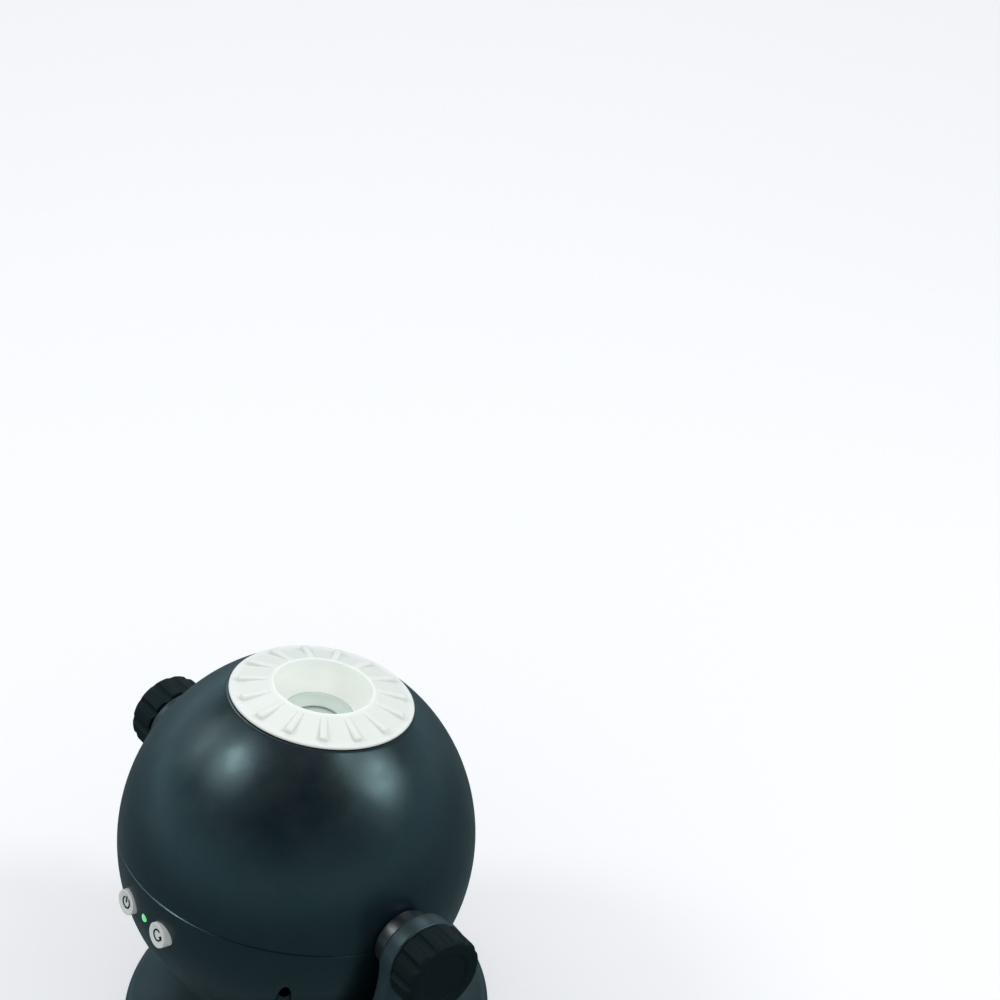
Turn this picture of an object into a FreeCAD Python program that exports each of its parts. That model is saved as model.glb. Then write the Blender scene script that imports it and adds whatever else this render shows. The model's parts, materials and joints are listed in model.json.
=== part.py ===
# Planetarium projector: an egg-shaped head that tilts between the two arms of a round stand.
# Inside the head a lamp shines through a condenser lens, a star disc that a small motor turns
# and a lens barrel, which the ribbed focus ring on top moves up and down by three cam slots.
#
# Two frames are used. The stand is drawn in the world frame: +Z up, the floor at z = 0, the
# tilt axis along X, the front towards -Y. The head is drawn upright about its own centre, with
# its own axis along local Z, and every piece of it gets the same placement: up to the tilt axis
# and leant back by head_lean. "Height" below means the local Z of the head.

import FreeCAD
import Part
import Sketcher
import math
import operator
import os

from FreeCAD import Placement, Rotation, Vector

# ----------------------------------------------------------------------------------------------
# Driving dimensions, millimetres and degrees
# ----------------------------------------------------------------------------------------------
SIZES = {
    # head housing: an arc of radius ball_radius + crown_offset turned about the axis
    "ball_radius": 75.0,
    "crown_offset": 10.0,
    "shell_wall": 2.4,
    "seam_drop": 5.0,
    "crown_land": 0.96,
    "keel_radius": 45.9,
    "collar_length": 11.2,
    "collar_wall": 2.5,
    "tower_radius": 4.0,
    "tower_inset": 6.5,
    "tower_angle": 35.0,
    "tower_length": 13.0,
    "lower_tower_length": 22.0,
    "hanger_inset": 7.0,
    "hanger_gap": 2.0,
    # screws
    "screw_radius": 1.5,
    "screw_head_radius": 2.8,
    "screw_head_height": 2.0,
    "small_screw_radius": 1.0,
    "small_head_radius": 1.7,
    "small_head_height": 1.2,
    "flat_head_radius": 2.6,
    "flat_head_height": 1.4,
    "pilot_depth": 9.0,
    # tilt axis, hubs and knobs
    "head_lean": 13.0,
    "hub_neck_radius": 8.0,
    "hub_flange_radius": 14.0,
    "hub_flange_thickness": 4.0,
    "hub_shoulder_radius": 13.0,
    "stud_radius": 3.0,
    "stud_length": 9.0,
    "bush_wall": 2.0,
    "washer_thickness": 0.6,
    "washer_radius": 13.5,
    "knob_radius": 17.5,
    "knob_length": 13.4,
    "knob_rounding": 3.6,
    "knob_edge": 1.0,
    "knob_flutes": 12,
    "knob_flute_radius": 3.0,
    "knob_flute_offset": 1.65,
    "insert_radius": 5.5,
    # stand
    "head_room": 8.0,
    "arm_thickness": 8.0,
    "arm_sink": 3.0,
    "ear_radius": 17.0,
    "arm_foot_width": 56.0,
    "base_radius": 80.0,
    "base_height": 18.0,
    "base_rim_height": 7.0,
    "base_wall": 2.6,
    "plateau_radius": 47.0,
    "base_shoulder": 4.6,
    "base_shoulder_curve": 5.0,
    "base_slope_curve": 60.0,
    "arm_screw_bite": 4.0,
    "foot_height": 2.0,
    "foot_radius": 8.0,
    "foot_reach": 64.0,
    "plate_thickness": 2.0,
    "plate_margin": 2.8,
    "ballast_radius": 52.0,
    "ballast_thickness": 7.6,
    "arm_screw_x": 12.0,
    "arm_screw_y": 16.0,
    # focus ring
    "ring_radius": 38.4,
    "ring_gap": 0.4,
    "ring_rim_rise": 0.4,
    "ring_rim_rounding": 1.3,
    "ring_rim_curve": 1.4,
    "ring_band_rise": 1.1,
    "ring_band_width": 2.6,
    "ring_lip_rise": 5.6,
    "ring_lip_radius": 20.5,
    "ring_lip_width": 2.3,
    "ring_lip_ease": 0.05,
    "bowl_depth": 11.8,
    "bowl_curve": 11.2,
    "bowl_wall": 1.2,
    "bowl_web": 5.0,
    "throat_radius": 14.2,
    "throat_land": 1.8,
    "skirt_radius": 25.6,
    "skirt_wall": 3.4,
    "skirt_depth": 25.2,
    "rib_count": 15,
    "rib_width": 3.2,
    "rib_height": 2.0,
    "rib_rounding": 1.0,
    "rib_inset": 0.6,
    "rib_angle": 13.7,
    "focus_angle": 50.0,
    "focus_travel": 3.0,
    "cam_extra_angle": 5.0,
    "clip_thickness": 1.2,
    "clip_depth": 0.8,
    "clip_width": 2.0,
    "clip_mouth": 12.5,
    # lens barrel and its guide
    "barrel_radius": 18.5,
    "barrel_wall": 3.3,
    "barrel_drop": 26.2,
    "barrel_length": 15.6,
    "front_lens_edge": 1.6,
    "front_lens_dome": 2.4,
    "rear_lens_edge": 2.0,
    "rear_lens_dome": 2.0,
    "lens_seat": 1.4,
    "retainer_length": 1.6,
    "nose_length": 4.2,
    "nose_wall": 0.8,
    "nose_gap": 0.5,
    "nose_shelf": 0.6,
    "eye_radius": 10.0,
    "eye_edge": 0.7,
    "eye_curve": 6.0,
    "pin_radius": 1.2,
    "pin_drop": 18.7,
    "guide_wall": 3.2,
    "guide_drop": 9.2,
    "bridge_drop": 30.8,
    "bridge_thickness": 2.4,
    "bridge_half_length": 42.0,
    "bridge_half_width": 22.0,
    "post_radius": 2.6,
    "post_x": 38.6,
    "post_y": 18.0,
    "post_length": 11.9,
    # chassis, rails, disc tray and star disc
    "chassis_thickness": 2.5,
    "chassis_margin": 3.2,
    "ledge_height": 1.2,
    "tray_half_width": 32.0,
    "tray_thickness": 2.6,
    "tray_front": 26.5,
    "door_height": 9.2,
    "grip_half_width": 8.5,
    "grip_reach": 2.4,
    "grip_thickness": 2.8,
    "rail_wall": 2.7,
    "rail_margin": 2.0,
    "light_hole_radius": 22.0,
    "disc_collar_wall": 2.2,
    "gear_module": 1.0,
    "gear_thickness": 3.6,
    "gear_backlash": 0.3,
    "mesh_gap": 0.15,
    "disc_teeth": 58,
    "idler_teeth": 16,
    "pinion_teeth": 10,
    "pinion_angle": -22.5,
    "film_radius": 25.6,
    "film_thickness": 0.4,
    "idler_pin_radius": 1.5,
    "motor_radius": 8.0,
    "motor_length": 20.0,
    "motor_shaft_radius": 1.0,
    "motor_screw_reach": 5.6,
    "motor_screw_depth": 4.0,
    # lamp and condenser
    "cone_flange_radius": 30.0,
    "cone_flange_thickness": 1.4,
    "cone_wall": 1.4,
    "condenser_radius": 25.3,
    "condenser_drop": 9.0,
    "condenser_edge": 2.5,
    "condenser_dome": 5.5,
    "cone_foot_radius": 15.0,
    "cone_drop": 34.4,
    "lamp_hole_radius": 8.0,
    "lamp_board_thickness": 1.6,
    "lamp_radius": 3.5,
    "lamp_rim": 0.7,
    "lamp_dome": 2.2,
    "sink_radius": 16.0,
    "sink_base": 3.0,
    "sink_fins": 6,
    "sink_fin_length": 9.0,
    "sink_fin_thickness": 1.2,
    "sink_fin_pitch": 4.0,
    "sink_fin_width": 18.0,
    "sink_screw_reach": 12.4,
    # control board and buttons
    "button_height": -20.0,
    "button_spacing": 12.0,
    "button_radius": 5.5,
    "button_rise": 1.6,
    "button_flange_radius": 6.6,
    "button_flange_stand": 6.6,
    "button_flange_thickness": 1.2,
    "button_stem_radius": 2.0,
    "button_travel": 1.2,
    "board_depth": 15.0,
    "board_thickness": 1.6,
    "board_half_width": 24.0,
    "board_half_height": 14.0,
    "switch_width": 6.0,
    "switch_depth": 3.5,
    "plunger_radius": 1.6,
    "light_pipe_radius": 1.8,
    "board_boss_radius": 3.0,
    "board_screw_length": 7.0,
    "board_screw_x": 20.5,
    "board_screw_rise": 10.0,
    # battery compartment
    "cell_radius": 7.1,
    "cell_length": 49.5,
    "cell_cap_radius": 2.7,
    "cell_cap_length": 0.8,
    "cell_pitch": 15.0,
    "cell_count": 3,
    "box_wall": 1.6,
    "cell_end_play": 1.65,
    "cell_side_play": 0.4,
    "cell_headroom": 0.9,
    "hatch_inset": 0.8,
    "contact_thickness": 0.6,
    "contact_height": 11.4,
    "contact_rise": 2.1,
    "contact_margin": 1.2,
    "thumb_radius": 9.0,
    "thumb_depth": 1.2,
    # clearances
    "hatch_gap": 0.3,
    "running_gap": 0.3,
    "fit_gap": 0.1,
    "bore_gap": 0.05,
    "bearing_gap": 0.1,
}

# shape of a gear tooth, in modules, and the slope of its straight flanks
ADDENDUM_SHARE = 0.9
DEDENDUM_SHARE = 1.2
FLANK_SLOPE = math.tan(math.radians(20))
FULL_TURN = 360
HALF_TURN = 180
QUARTER_TURN = 90
PINS = 3


class Size:
    """A number together with the spreadsheet expression that gives it."""

    def __init__(self, value, text):
        self.value = float(value)
        self.text = text

    @staticmethod
    def of(thing):
        return thing if isinstance(thing, Size) else Size(thing, f"({thing!r})")

    def join(self, sign, other, work):
        other = Size.of(other)
        return Size(work(self.value, other.value), f"({self.text} {sign} {other.text})")

    def __add__(self, other):
        return self.join("+", other, operator.add)

    def __sub__(self, other):
        return self.join("-", other, operator.sub)

    def __mul__(self, other):
        return self.join("*", other, operator.mul)

    def __truediv__(self, other):
        return self.join("/", other, operator.truediv)

    def __radd__(self, other):
        return Size.of(other) + self

    def __rsub__(self, other):
        return Size.of(other) - self

    def __rmul__(self, other):
        return Size.of(other) * self

    def __rtruediv__(self, other):
        return Size.of(other) / self

    def __neg__(self):
        return Size(-self.value, f"(0 - {self.text})")


def root(size):
    return Size(math.sqrt(size.value), f"sqrt({size.text})")


def sine(angle):
    angle = Size.of(angle)
    return Size(math.sin(math.radians(angle.value)), f"sin({angle.text})")


def cosine(angle):
    angle = Size.of(angle)
    return Size(math.cos(math.radians(angle.value)), f"cos({angle.text})")


def across(long_side, short_side):
    """The other leg of a right triangle: sqrt(long_side^2 - short_side^2)."""
    return root(long_side * long_side - short_side * short_side)


def dome_radius(half_chord, rise):
    """The radius of an arc that rises by rise over half a chord."""
    return (half_chord * half_chord + rise * rise) / (2 * rise)


doc = FreeCAD.newDocument("PlanetariumProjector")


class Sizes:
    """The driving dimensions: cells of the sheet, and attributes of this object."""

    def __init__(self, table):
        sheet = doc.addObject("Spreadsheet::Sheet", "Sizes")
        for row, (alias, value) in enumerate(table.items(), start=1):
            sheet.set(f"A{row}", alias.replace("_", " "))
            sheet.set(f"B{row}", str(value))
            sheet.setAlias(f"B{row}", alias)
            setattr(self, alias, Size(value, f"Sizes.{alias}"))


dim = Sizes(SIZES)
doc.recompute()

# ----------------------------------------------------------------------------------------------
# Drawing helpers
# ----------------------------------------------------------------------------------------------
nodes = []
TURN_TO_AXIS = {
    "x": Rotation(Vector(0, 1, 0), 90),
    "y": Rotation(Vector(1, 0, 0), -90),
    "z": Rotation(),
}


def bind(thing, **settings):
    """Set properties; a Size also leaves its expression on the property."""
    for name, setting in settings.items():
        path = name.replace("__", ".")
        if isinstance(setting, Size):
            thing.setExpression(path, setting.text)
        else:
            setattr(thing, path, setting)


def move(thing, spot, axis="z"):
    """Place thing at spot, with its own Z turned to the named axis."""
    values = [Size.of(value) for value in spot]
    thing.Placement = Placement(Vector(*(value.value for value in values)), TURN_TO_AXIS[axis])
    for letter, given in zip("xyz", spot):
        if isinstance(given, Size):
            thing.setExpression(f"Placement.Base.{letter}", given.text)
    return thing


def rod(name, radius, length, spot, axis="z"):
    thing = doc.addObject("Part::Cylinder", name)
    bind(thing, Radius=radius, Height=length)
    return move(thing, spot, axis)


def block(name, size_x, size_y, size_z, spot):
    """A box centred on spot in X and Y, standing on spot in Z."""
    thing = doc.addObject("Part::Box", name)
    bind(thing, Length=size_x, Width=size_y, Height=size_z)
    return move(thing, (spot[0] - size_x / 2, spot[1] - size_y / 2, spot[2]))


def fuse(name, things):
    if len(things) == 1:
        return things[0]
    whole = doc.addObject("Part::MultiFuse", name)
    whole.Shapes = things
    return whole


def cut(name, base, tools):
    result = doc.addObject("Part::Cut", name)
    result.Base = base
    result.Tool = fuse(f"{name}_tools", tools)
    return result


def common(name, first, second):
    result = doc.addObject("Part::Common", name)
    result.Base = first
    result.Tool = second
    return result


def tube(name, outer, inner, length, spot, axis="z"):
    """A pipe: its cutter is as long as the pipe, so both end faces are clean."""
    wall = rod(f"{name}_wall", outer, length, spot, axis)
    hole = rod(f"{name}_hole", inner, length, spot, axis)
    return cut(name, wall, [hole])


def new_body(name):
    return doc.addObject("PartDesign::Body", name)


def attach(body, role, offset=0.0, turn=None):
    """A sketch on one of the body's own origin planes, moved along the plane's normal."""
    plane = [item for item in body.Origin.OriginFeatures if item.Role == f"{role}_Plane"][0]
    sketch = body.newObject("Sketcher::SketchObject", f"{body.Name}_sketch")
    sketch.AttachmentSupport = (plane, [""])
    sketch.MapMode = "FlatFace"
    shift = Size.of(offset)
    sketch.AttachmentOffset = Placement(Vector(0, 0, shift.value), turn or Rotation())
    if isinstance(offset, Size):
        sketch.setExpression("AttachmentOffset.Base.z", offset.text)
    return sketch


def pin_point(sketch, geometry, end, point):
    """Hold one end of a line or an arc at a point given from the sketch's origin."""
    for kind, line, place in (("DistanceX", -2, point[0]), ("DistanceY", -1, point[1])):
        if not isinstance(place, Size) and place == 0:
            sketch.addConstraint(Sketcher.Constraint("PointOnObject", geometry, end, line))
            continue
        place = Size.of(place)
        index = sketch.addConstraint(Sketcher.Constraint(kind, geometry, end, place.value))
        sketch.setExpression(f"Constraints[{index}]", place.text)


def draw_outline(sketch, points):
    """A closed outline through points. A point (x, y) is reached by a straight line, a point
    (x, y, radius) by an arc that turns left, or right where the radius is negative."""
    first = sketch.GeometryCount
    spots = [Vector(Size.of(point[0]).value, Size.of(point[1]).value, 0) for point in points]
    start_ends = []
    arcs = []
    for index, start in enumerate(spots):
        target = (index + 1) % len(points)
        end = spots[target]
        if len(points[target]) == 2:
            sketch.addGeometry(Part.LineSegment(start, end), False)
            start_ends.append((1, 2))
            continue
        radius = points[target][2]
        reach = abs(Size.of(radius).value)
        chord = end - start
        left = Vector(-chord.y, chord.x, 0).normalize()
        depth = math.sqrt(max(reach * reach - chord.Length * chord.Length / 4, 0.0))
        turns_left = Size.of(radius).value > 0
        centre = start + chord * 0.5 + left * (depth if turns_left else -depth)
        low, high = (start, end) if turns_left else (end, start)
        angles = [math.atan2(spot.y - centre.y, spot.x - centre.x) for spot in (low, high)]
        circle = Part.Circle(centre, Vector(0, 0, 1), reach)
        sketch.addGeometry(Part.ArcOfCircle(circle, angles[0], angles[1]), False)
        start_ends.append((1, 2) if turns_left else (2, 1))
        arcs.append((first + index, radius if turns_left else -radius))
    for index in range(len(points)):
        follower = (index + 1) % len(points)
        ends = start_ends[index][1], start_ends[follower][0]
        sketch.addConstraint(
            Sketcher.Constraint("Coincident", first + index, ends[0], first + follower, ends[1])
        )
        pin_point(sketch, first + index, start_ends[index][0], points[index])
    for geometry, radius in arcs:
        radius = Size.of(radius)
        index = sketch.addConstraint(Sketcher.Constraint("Radius", geometry, radius.value))
        sketch.setExpression(f"Constraints[{index}]", radius.text)
    return sketch


def draw_circle(sketch, centre, radius):
    spot = Vector(Size.of(centre[0]).value, Size.of(centre[1]).value, 0)
    geometry = sketch.addGeometry(
        Part.Circle(spot, Vector(0, 0, 1), Size.of(radius).value), False
    )
    pin_point(sketch, geometry, 3, centre)
    radius = Size.of(radius)
    index = sketch.addConstraint(Sketcher.Constraint("Radius", geometry, radius.value))
    sketch.setExpression(f"Constraints[{index}]", radius.text)
    return sketch


def turn_profile(name, points, axis="V_Axis", role="XZ"):
    """A turned solid: the outline goes all the way round the sketch's axis."""
    body = new_body(name)
    sketch = draw_outline(attach(body, role), points)
    turned = body.newObject("PartDesign::Revolution", f"{name}_turned")
    turned.Profile = sketch
    turned.ReferenceAxis = (sketch, [axis])
    turned.Angle = FULL_TURN
    return body


def extrude(body, sketch, length, both_ways=False):
    pad = body.newObject("PartDesign::Pad", f"{body.Name}_pad")
    pad.Profile = sketch
    pad.SideType = "Symmetric" if both_ways else "One side"
    bind(pad, Length=length)
    return pad


def extrude_cut(body, sketch, length, both_ways=True):
    pocket = body.newObject("PartDesign::Pocket", f"{body.Name}_pocket")
    pocket.Profile = sketch
    pocket.SideType = "Symmetric" if both_ways else "One side"
    bind(pocket, Length=length)
    return pocket


def repeat_round(body, feature, sketch, count, axis="N_Axis"):
    pattern = body.newObject("PartDesign::PolarPattern", f"{body.Name}_pattern")
    pattern.Originals = [feature]
    pattern.Axis = (sketch, [axis])
    pattern.Angle = FULL_TURN
    bind(pattern, Occurrences=count)
    body.Tip = pattern
    return pattern


def stand_piece(thing, label):
    """A finished sub-part of the stand, which is drawn where it stands."""
    thing.Label = label
    nodes.append(thing)
    return thing


def group(name, things):
    """Several shapes, or one, as they lie: the group has a placement of its own."""
    whole = doc.addObject("Part::Compound", name)
    whole.Links = things
    return whole


def head_piece(thing, label):
    """A finished sub-part of the head: it is lifted to the tilt axis and leant back."""
    if thing.TypeId in ("Part::Cylinder", "Part::Box"):
        thing = group(f"{thing.Name}_placed", [thing])
    thing.Label = label
    thing.Placement = Placement(
        Vector(0, 0, pivot_height.value), Rotation(Vector(1, 0, 0), -dim.head_lean.value)
    )
    thing.setExpression("Placement.Base.z", pivot_height.text)
    thing.setExpression("Placement.Rotation.Angle", (-dim.head_lean).text)
    nodes.append(thing)
    return thing


def ring_of_spots(reach, first_turn, count):
    """Points evenly spaced on a circle about the axis."""
    step = FULL_TURN / count
    return [
        (reach * cosine(first_turn + step * index), reach * sine(first_turn + step * index))
        for index in range(count)
    ]


def corners(half_x, half_y):
    """The four corners of a rectangle about the axis."""
    return [(side * half_x, end * half_y) for side in (-1, 1) for end in (-1, 1)]


# radius of the shank, radius of the head and height of the head of each make of screw
SCREWS = {
    "screw": (dim.screw_radius, dim.screw_head_radius, dim.screw_head_height),
    "flat": (dim.screw_radius, dim.flat_head_radius, dim.flat_head_height),
    "small": (dim.small_screw_radius, dim.small_head_radius, dim.small_head_height),
}


def screw_group(name, spots, shank_low, shank_top, up, make="screw"):
    """Upright screws. up says whether the head is at the top or at the bottom of the shank,
    and make is one of the keys of SCREWS."""
    screws = []
    shank_radius, head_radius, head_height = SCREWS[make]
    for index, (spot_x, spot_y) in enumerate(spots):
        head_low = shank_top if up else shank_low - head_height
        shank = rod(f"{name}_shank{index}", shank_radius, shank_top - shank_low,
                    (spot_x, spot_y, shank_low))
        head = rod(f"{name}_head{index}", head_radius, head_height,
                   (spot_x, spot_y, head_low))
        screws.append(fuse(f"{name}_{index}", [shank, head]))
    return fuse(name, screws)


# ----------------------------------------------------------------------------------------------
# Places worked out from the driving dimensions
# ----------------------------------------------------------------------------------------------
outer_arc = dim.ball_radius + dim.crown_offset
inner_arc = outer_arc - dim.shell_wall
seam = -dim.seam_drop
keel = -across(outer_arc, dim.keel_radius + dim.crown_offset)
keel_floor = keel + dim.shell_wall
crown_height = across(outer_arc, dim.ring_radius + dim.crown_land + dim.crown_offset)
crown_ceiling = crown_height - dim.shell_wall
collar_bore = dim.skirt_radius + dim.bearing_gap
collar_radius = collar_bore + dim.collar_wall
collar_low = crown_height - dim.collar_length


def outside(height):
    """Radius of the outside of the housing at a height."""
    return across(outer_arc, Size.of(height)) - dim.crown_offset


def inside(height):
    """Radius of the inside of the housing at a height."""
    return across(inner_arc, Size.of(height)) - dim.crown_offset


barrel_low = crown_height - dim.barrel_drop
pin_height = crown_height - dim.pin_drop
guide_top = crown_height - dim.guide_drop
bridge_low = crown_height - dim.bridge_drop
bridge_top = bridge_low + dim.bridge_thickness
chassis_top = bridge_low - dim.post_length
chassis_low = chassis_top - dim.chassis_thickness
chassis_radius = inside(chassis_top) - dim.chassis_margin
tray_low = chassis_top + dim.ledge_height + dim.running_gap
tray_top = tray_low + dim.tray_thickness
gear_low = tray_top + dim.running_gap
gear_top = gear_low + dim.gear_thickness
film_low = gear_top - dim.film_thickness - dim.fit_gap
disc_collar_radius = dim.light_hole_radius + dim.disc_collar_wall
guide_bore = dim.barrel_radius + dim.bearing_gap
guide_radius = guide_bore + dim.guide_wall
skirt_bore = dim.skirt_radius - dim.skirt_wall
ring_low = crown_height + dim.ring_gap
skirt_low = ring_low - dim.skirt_depth
shoulder_start = dim.ball_radius + dim.running_gap
arm_inner_radius = dim.ball_radius + dim.head_room
washer_start = arm_inner_radius - dim.washer_thickness
arm_outer_radius = arm_inner_radius + dim.arm_thickness
pivot_height = dim.base_height + arm_outer_radius - dim.arm_sink
knob_start = arm_outer_radius + dim.washer_thickness
idler_reach = (dim.disc_teeth + dim.idler_teeth) * dim.gear_module / 2 + dim.mesh_gap
pinion_reach = (dim.idler_teeth + dim.pinion_teeth) * dim.gear_module / 2 + dim.mesh_gap
pinion_x = pinion_reach * cosine(dim.pinion_angle)
pinion_y = pinion_reach * sine(dim.pinion_angle) - idler_reach
rail_outer_x = dim.tray_half_width + dim.running_gap + dim.rail_wall
rail_top = tray_top + dim.running_gap + dim.ledge_height
rail_end = across(inside(rail_top), rail_outer_x) - dim.rail_margin
condenser_low = chassis_low - dim.condenser_drop
cone_low = chassis_low - dim.cone_drop
board_front = outside(dim.button_height) - dim.board_depth
button_face = outside(dim.button_height) + dim.button_rise
button_flange_back = board_front + dim.button_flange_stand
tower_reach = dim.ball_radius - dim.tower_inset
tower_spots = corners(tower_reach * cosine(dim.tower_angle), tower_reach * sine(dim.tower_angle))
hanger_x = rail_outer_x + dim.tower_radius + dim.hanger_gap
hanger_spots = corners(hanger_x, across(chassis_radius - dim.hanger_inset, hanger_x))
pilot_radius = dim.screw_radius + dim.bore_gap
small_pilot_radius = dim.small_screw_radius + dim.bore_gap
shell_screw_seat = seam - dim.lower_tower_length / 2
button_places = (-dim.button_spacing, dim.button_spacing)
board_screw_spots = [
    (spot_x, dim.button_height + spot_h)
    for spot_x, spot_h in corners(dim.board_screw_x, dim.board_screw_rise)
]
post_spots = corners(dim.post_x, dim.post_y)
grip_end = outside(tray_low + dim.door_height / 2)
motor_screw_spots = [
    (pinion_x + side * dim.motor_screw_reach, pinion_y) for side in (-1, 1)
]
sink_screw_spots = [(0, side * dim.sink_screw_reach) for side in (-1, 1)]
foot_side = dim.foot_reach / root(Size.of(2))
foot_spots = corners(foot_side, foot_side)
base_screw_spots = ring_of_spots(dim.foot_reach, 0, 4)
band_top = ring_low + dim.ring_band_rise
lip_top = ring_low + dim.ring_lip_rise
bowl_floor = lip_top - dim.bowl_depth
cam_span = 2 * (dim.focus_angle + dim.cam_extra_angle)
cam_pitch = dim.focus_travel / dim.focus_angle * FULL_TURN
cam_rise = cam_pitch * cam_span / FULL_TURN
clip_top = collar_low - dim.fit_gap
barrel_top = barrel_low + dim.barrel_length
lens_radius = dim.barrel_radius - dim.barrel_wall
rear_seat = barrel_low + dim.lens_seat
spacer_low = rear_seat + dim.rear_lens_edge
front_seat = barrel_top - dim.retainer_length - dim.front_lens_edge
pin_angles = [QUARTER_TURN + FULL_TURN / PINS * index for index in range(PINS)]
arm_screw_spots = corners(dim.arm_screw_x, dim.arm_screw_y)
box_inner_length = dim.cell_length + 2 * (dim.contact_thickness + dim.cell_end_play)
box_inner_width = (dim.cell_count - 1) * dim.cell_pitch + 2 * (dim.cell_radius
                                                               + dim.cell_side_play)
box_inner_height = dim.running_gap + 2 * dim.cell_radius + dim.cell_headroom
hatch_length = box_inner_length - 2 * dim.hatch_inset
hatch_width = box_inner_width - 2 * dim.hatch_inset
plate_radius = dim.base_radius - dim.plate_margin
plate_top = dim.foot_height + dim.plate_thickness
base_ceiling = dim.base_height - dim.base_wall

# the whole egg, which the towers, the tray door and the tray are trimmed by
egg_outline = [
    (0, keel),
    (outside(keel), keel),
    (outside(crown_height), crown_height, outer_arc),
    (0, crown_height),
]
core_outline = [
    (0, keel_floor),
    (inside(keel_floor), keel_floor),
    (inside(crown_ceiling), crown_ceiling, inner_arc),
    (0, crown_ceiling),
]


# ----------------------------------------------------------------------------------------------
# Head housing
# ----------------------------------------------------------------------------------------------
def egg(name):
    return turn_profile(name, egg_outline)


def core(name):
    """The room inside the housing."""
    return turn_profile(name, core_outline)


def hub_holes(name):
    """One cutter along the tilt axis for the necks of both hubs."""
    length = 4 * dim.ball_radius
    return rod(name, dim.hub_neck_radius + dim.fit_gap, length, (-length / 2, 0, 0), "x")


def upright_holes(name, spots, length, low, radius):
    return [
        rod(f"{name}{index}", radius, length, (spot_x, spot_y, low))
        for index, (spot_x, spot_y) in enumerate(spots)
    ]


def build_upper_shell():
    wall = turn_profile("upper_wall", [
        (outside(seam), seam),
        (outside(crown_height), crown_height, outer_arc),
        (collar_bore, crown_height),
        (collar_bore, collar_low),
        (collar_radius, collar_low),
        (collar_radius, crown_ceiling),
        (inside(crown_ceiling), crown_ceiling),
        (inside(seam), seam, -inner_arc),
    ])
    towers = upright_holes("tower", tower_spots, dim.tower_length, seam, dim.tower_radius)
    hangers = upright_holes("hanger", hanger_spots, crown_height - chassis_top, chassis_top,
                            dim.tower_radius)
    bosses = common("upper_bosses", fuse("upper_boss_rods", towers + hangers), egg("upper_egg"))
    slot = block("tray_slot", 2 * (dim.tray_half_width + dim.running_gap), dim.ball_radius,
                 dim.door_height + 2 * dim.running_gap,
                 (0, dim.tray_front + dim.ball_radius / 2, tray_low - dim.running_gap))
    pilots = upright_holes("tower_pilot", tower_spots, dim.pilot_depth, seam, pilot_radius)
    pilots += upright_holes("hanger_pilot", hanger_spots, dim.pilot_depth, chassis_top,
                            pilot_radius)
    whole = fuse("upper_shell_whole", [wall, bosses])
    head_piece(cut("upper_shell_cut", whole, [slot, hub_holes("upper_hub_holes")] + pilots),
               "upper_shell")


def build_lower_shell():
    wall = turn_profile("lower_wall", [
        (outside(seam), seam, outer_arc),
        (inside(seam), seam),
        (inside(keel_floor), keel_floor, -inner_arc),
        (0, keel_floor),
        (0, keel),
        (outside(keel), keel),
    ])
    tower_low = seam - dim.lower_tower_length
    towers = upright_holes("post", tower_spots, dim.lower_tower_length, tower_low,
                           dim.tower_radius)
    board_bosses = [
        rod(f"board_boss{index}", dim.board_boss_radius, dim.ball_radius,
            (spot_x, -board_front - dim.ball_radius, spot_h), "y")
        for index, (spot_x, spot_h) in enumerate(board_screw_spots)
    ]
    bosses = common("lower_bosses", fuse("lower_boss_rods", towers + board_bosses),
                    egg("lower_egg"))
    openings = [block("hatch_hole", hatch_length + 2 * dim.hatch_gap,
                      hatch_width + 2 * dim.hatch_gap, 3 * dim.shell_wall,
                      (0, 0, keel - dim.shell_wall))]
    for index, spot_x in enumerate(button_places):
        openings.append(rod(f"button_hole{index}", dim.button_radius + dim.running_gap,
                            dim.ball_radius - board_front + dim.board_boss_radius,
                            (spot_x, -dim.ball_radius - dim.shell_wall, dim.button_height), "y"))
    openings.append(rod("pipe_hole", dim.light_pipe_radius + dim.fit_gap, dim.ball_radius / 2,
                        (0, -dim.ball_radius, dim.button_height), "y"))
    openings += upright_holes("post_bore", tower_spots, dim.lower_tower_length, tower_low,
                              pilot_radius)
    openings += upright_holes("post_well", tower_spots, dim.ball_radius,
                              shell_screw_seat - dim.ball_radius,
                              dim.screw_head_radius + dim.running_gap)
    openings += [
        rod(f"board_pilot{index}", pilot_radius, dim.board_screw_length,
            (spot_x, -board_front - dim.board_screw_length, spot_h), "y")
        for index, (spot_x, spot_h) in enumerate(board_screw_spots)
    ]
    whole = fuse("lower_shell_whole", [wall, bosses])
    head_piece(cut("lower_shell_cut", whole, [hub_holes("lower_hub_holes")] + openings),
               "lower_shell")


def build_shell_screws():
    screws = screw_group("shell_screw", tower_spots, shell_screw_seat,
                         seam + dim.pilot_depth - dim.running_gap, up=False)
    head_piece(screws, "shell_screws")


# ----------------------------------------------------------------------------------------------
# Tilt axis: hubs, washers, bushes and knobs. Each is drawn for the right side and mirrored.
# ----------------------------------------------------------------------------------------------
def both_sides(name, make):
    """The piece on the right as it is drawn, and its mirror image on the left."""
    piece = make(f"{name}_drawn")
    left = doc.addObject("Part::Mirroring", f"{name}_left")
    left.Source = piece
    left.Normal = Vector(1, 0, 0)
    return group(f"{name}_right", [piece]), left


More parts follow.
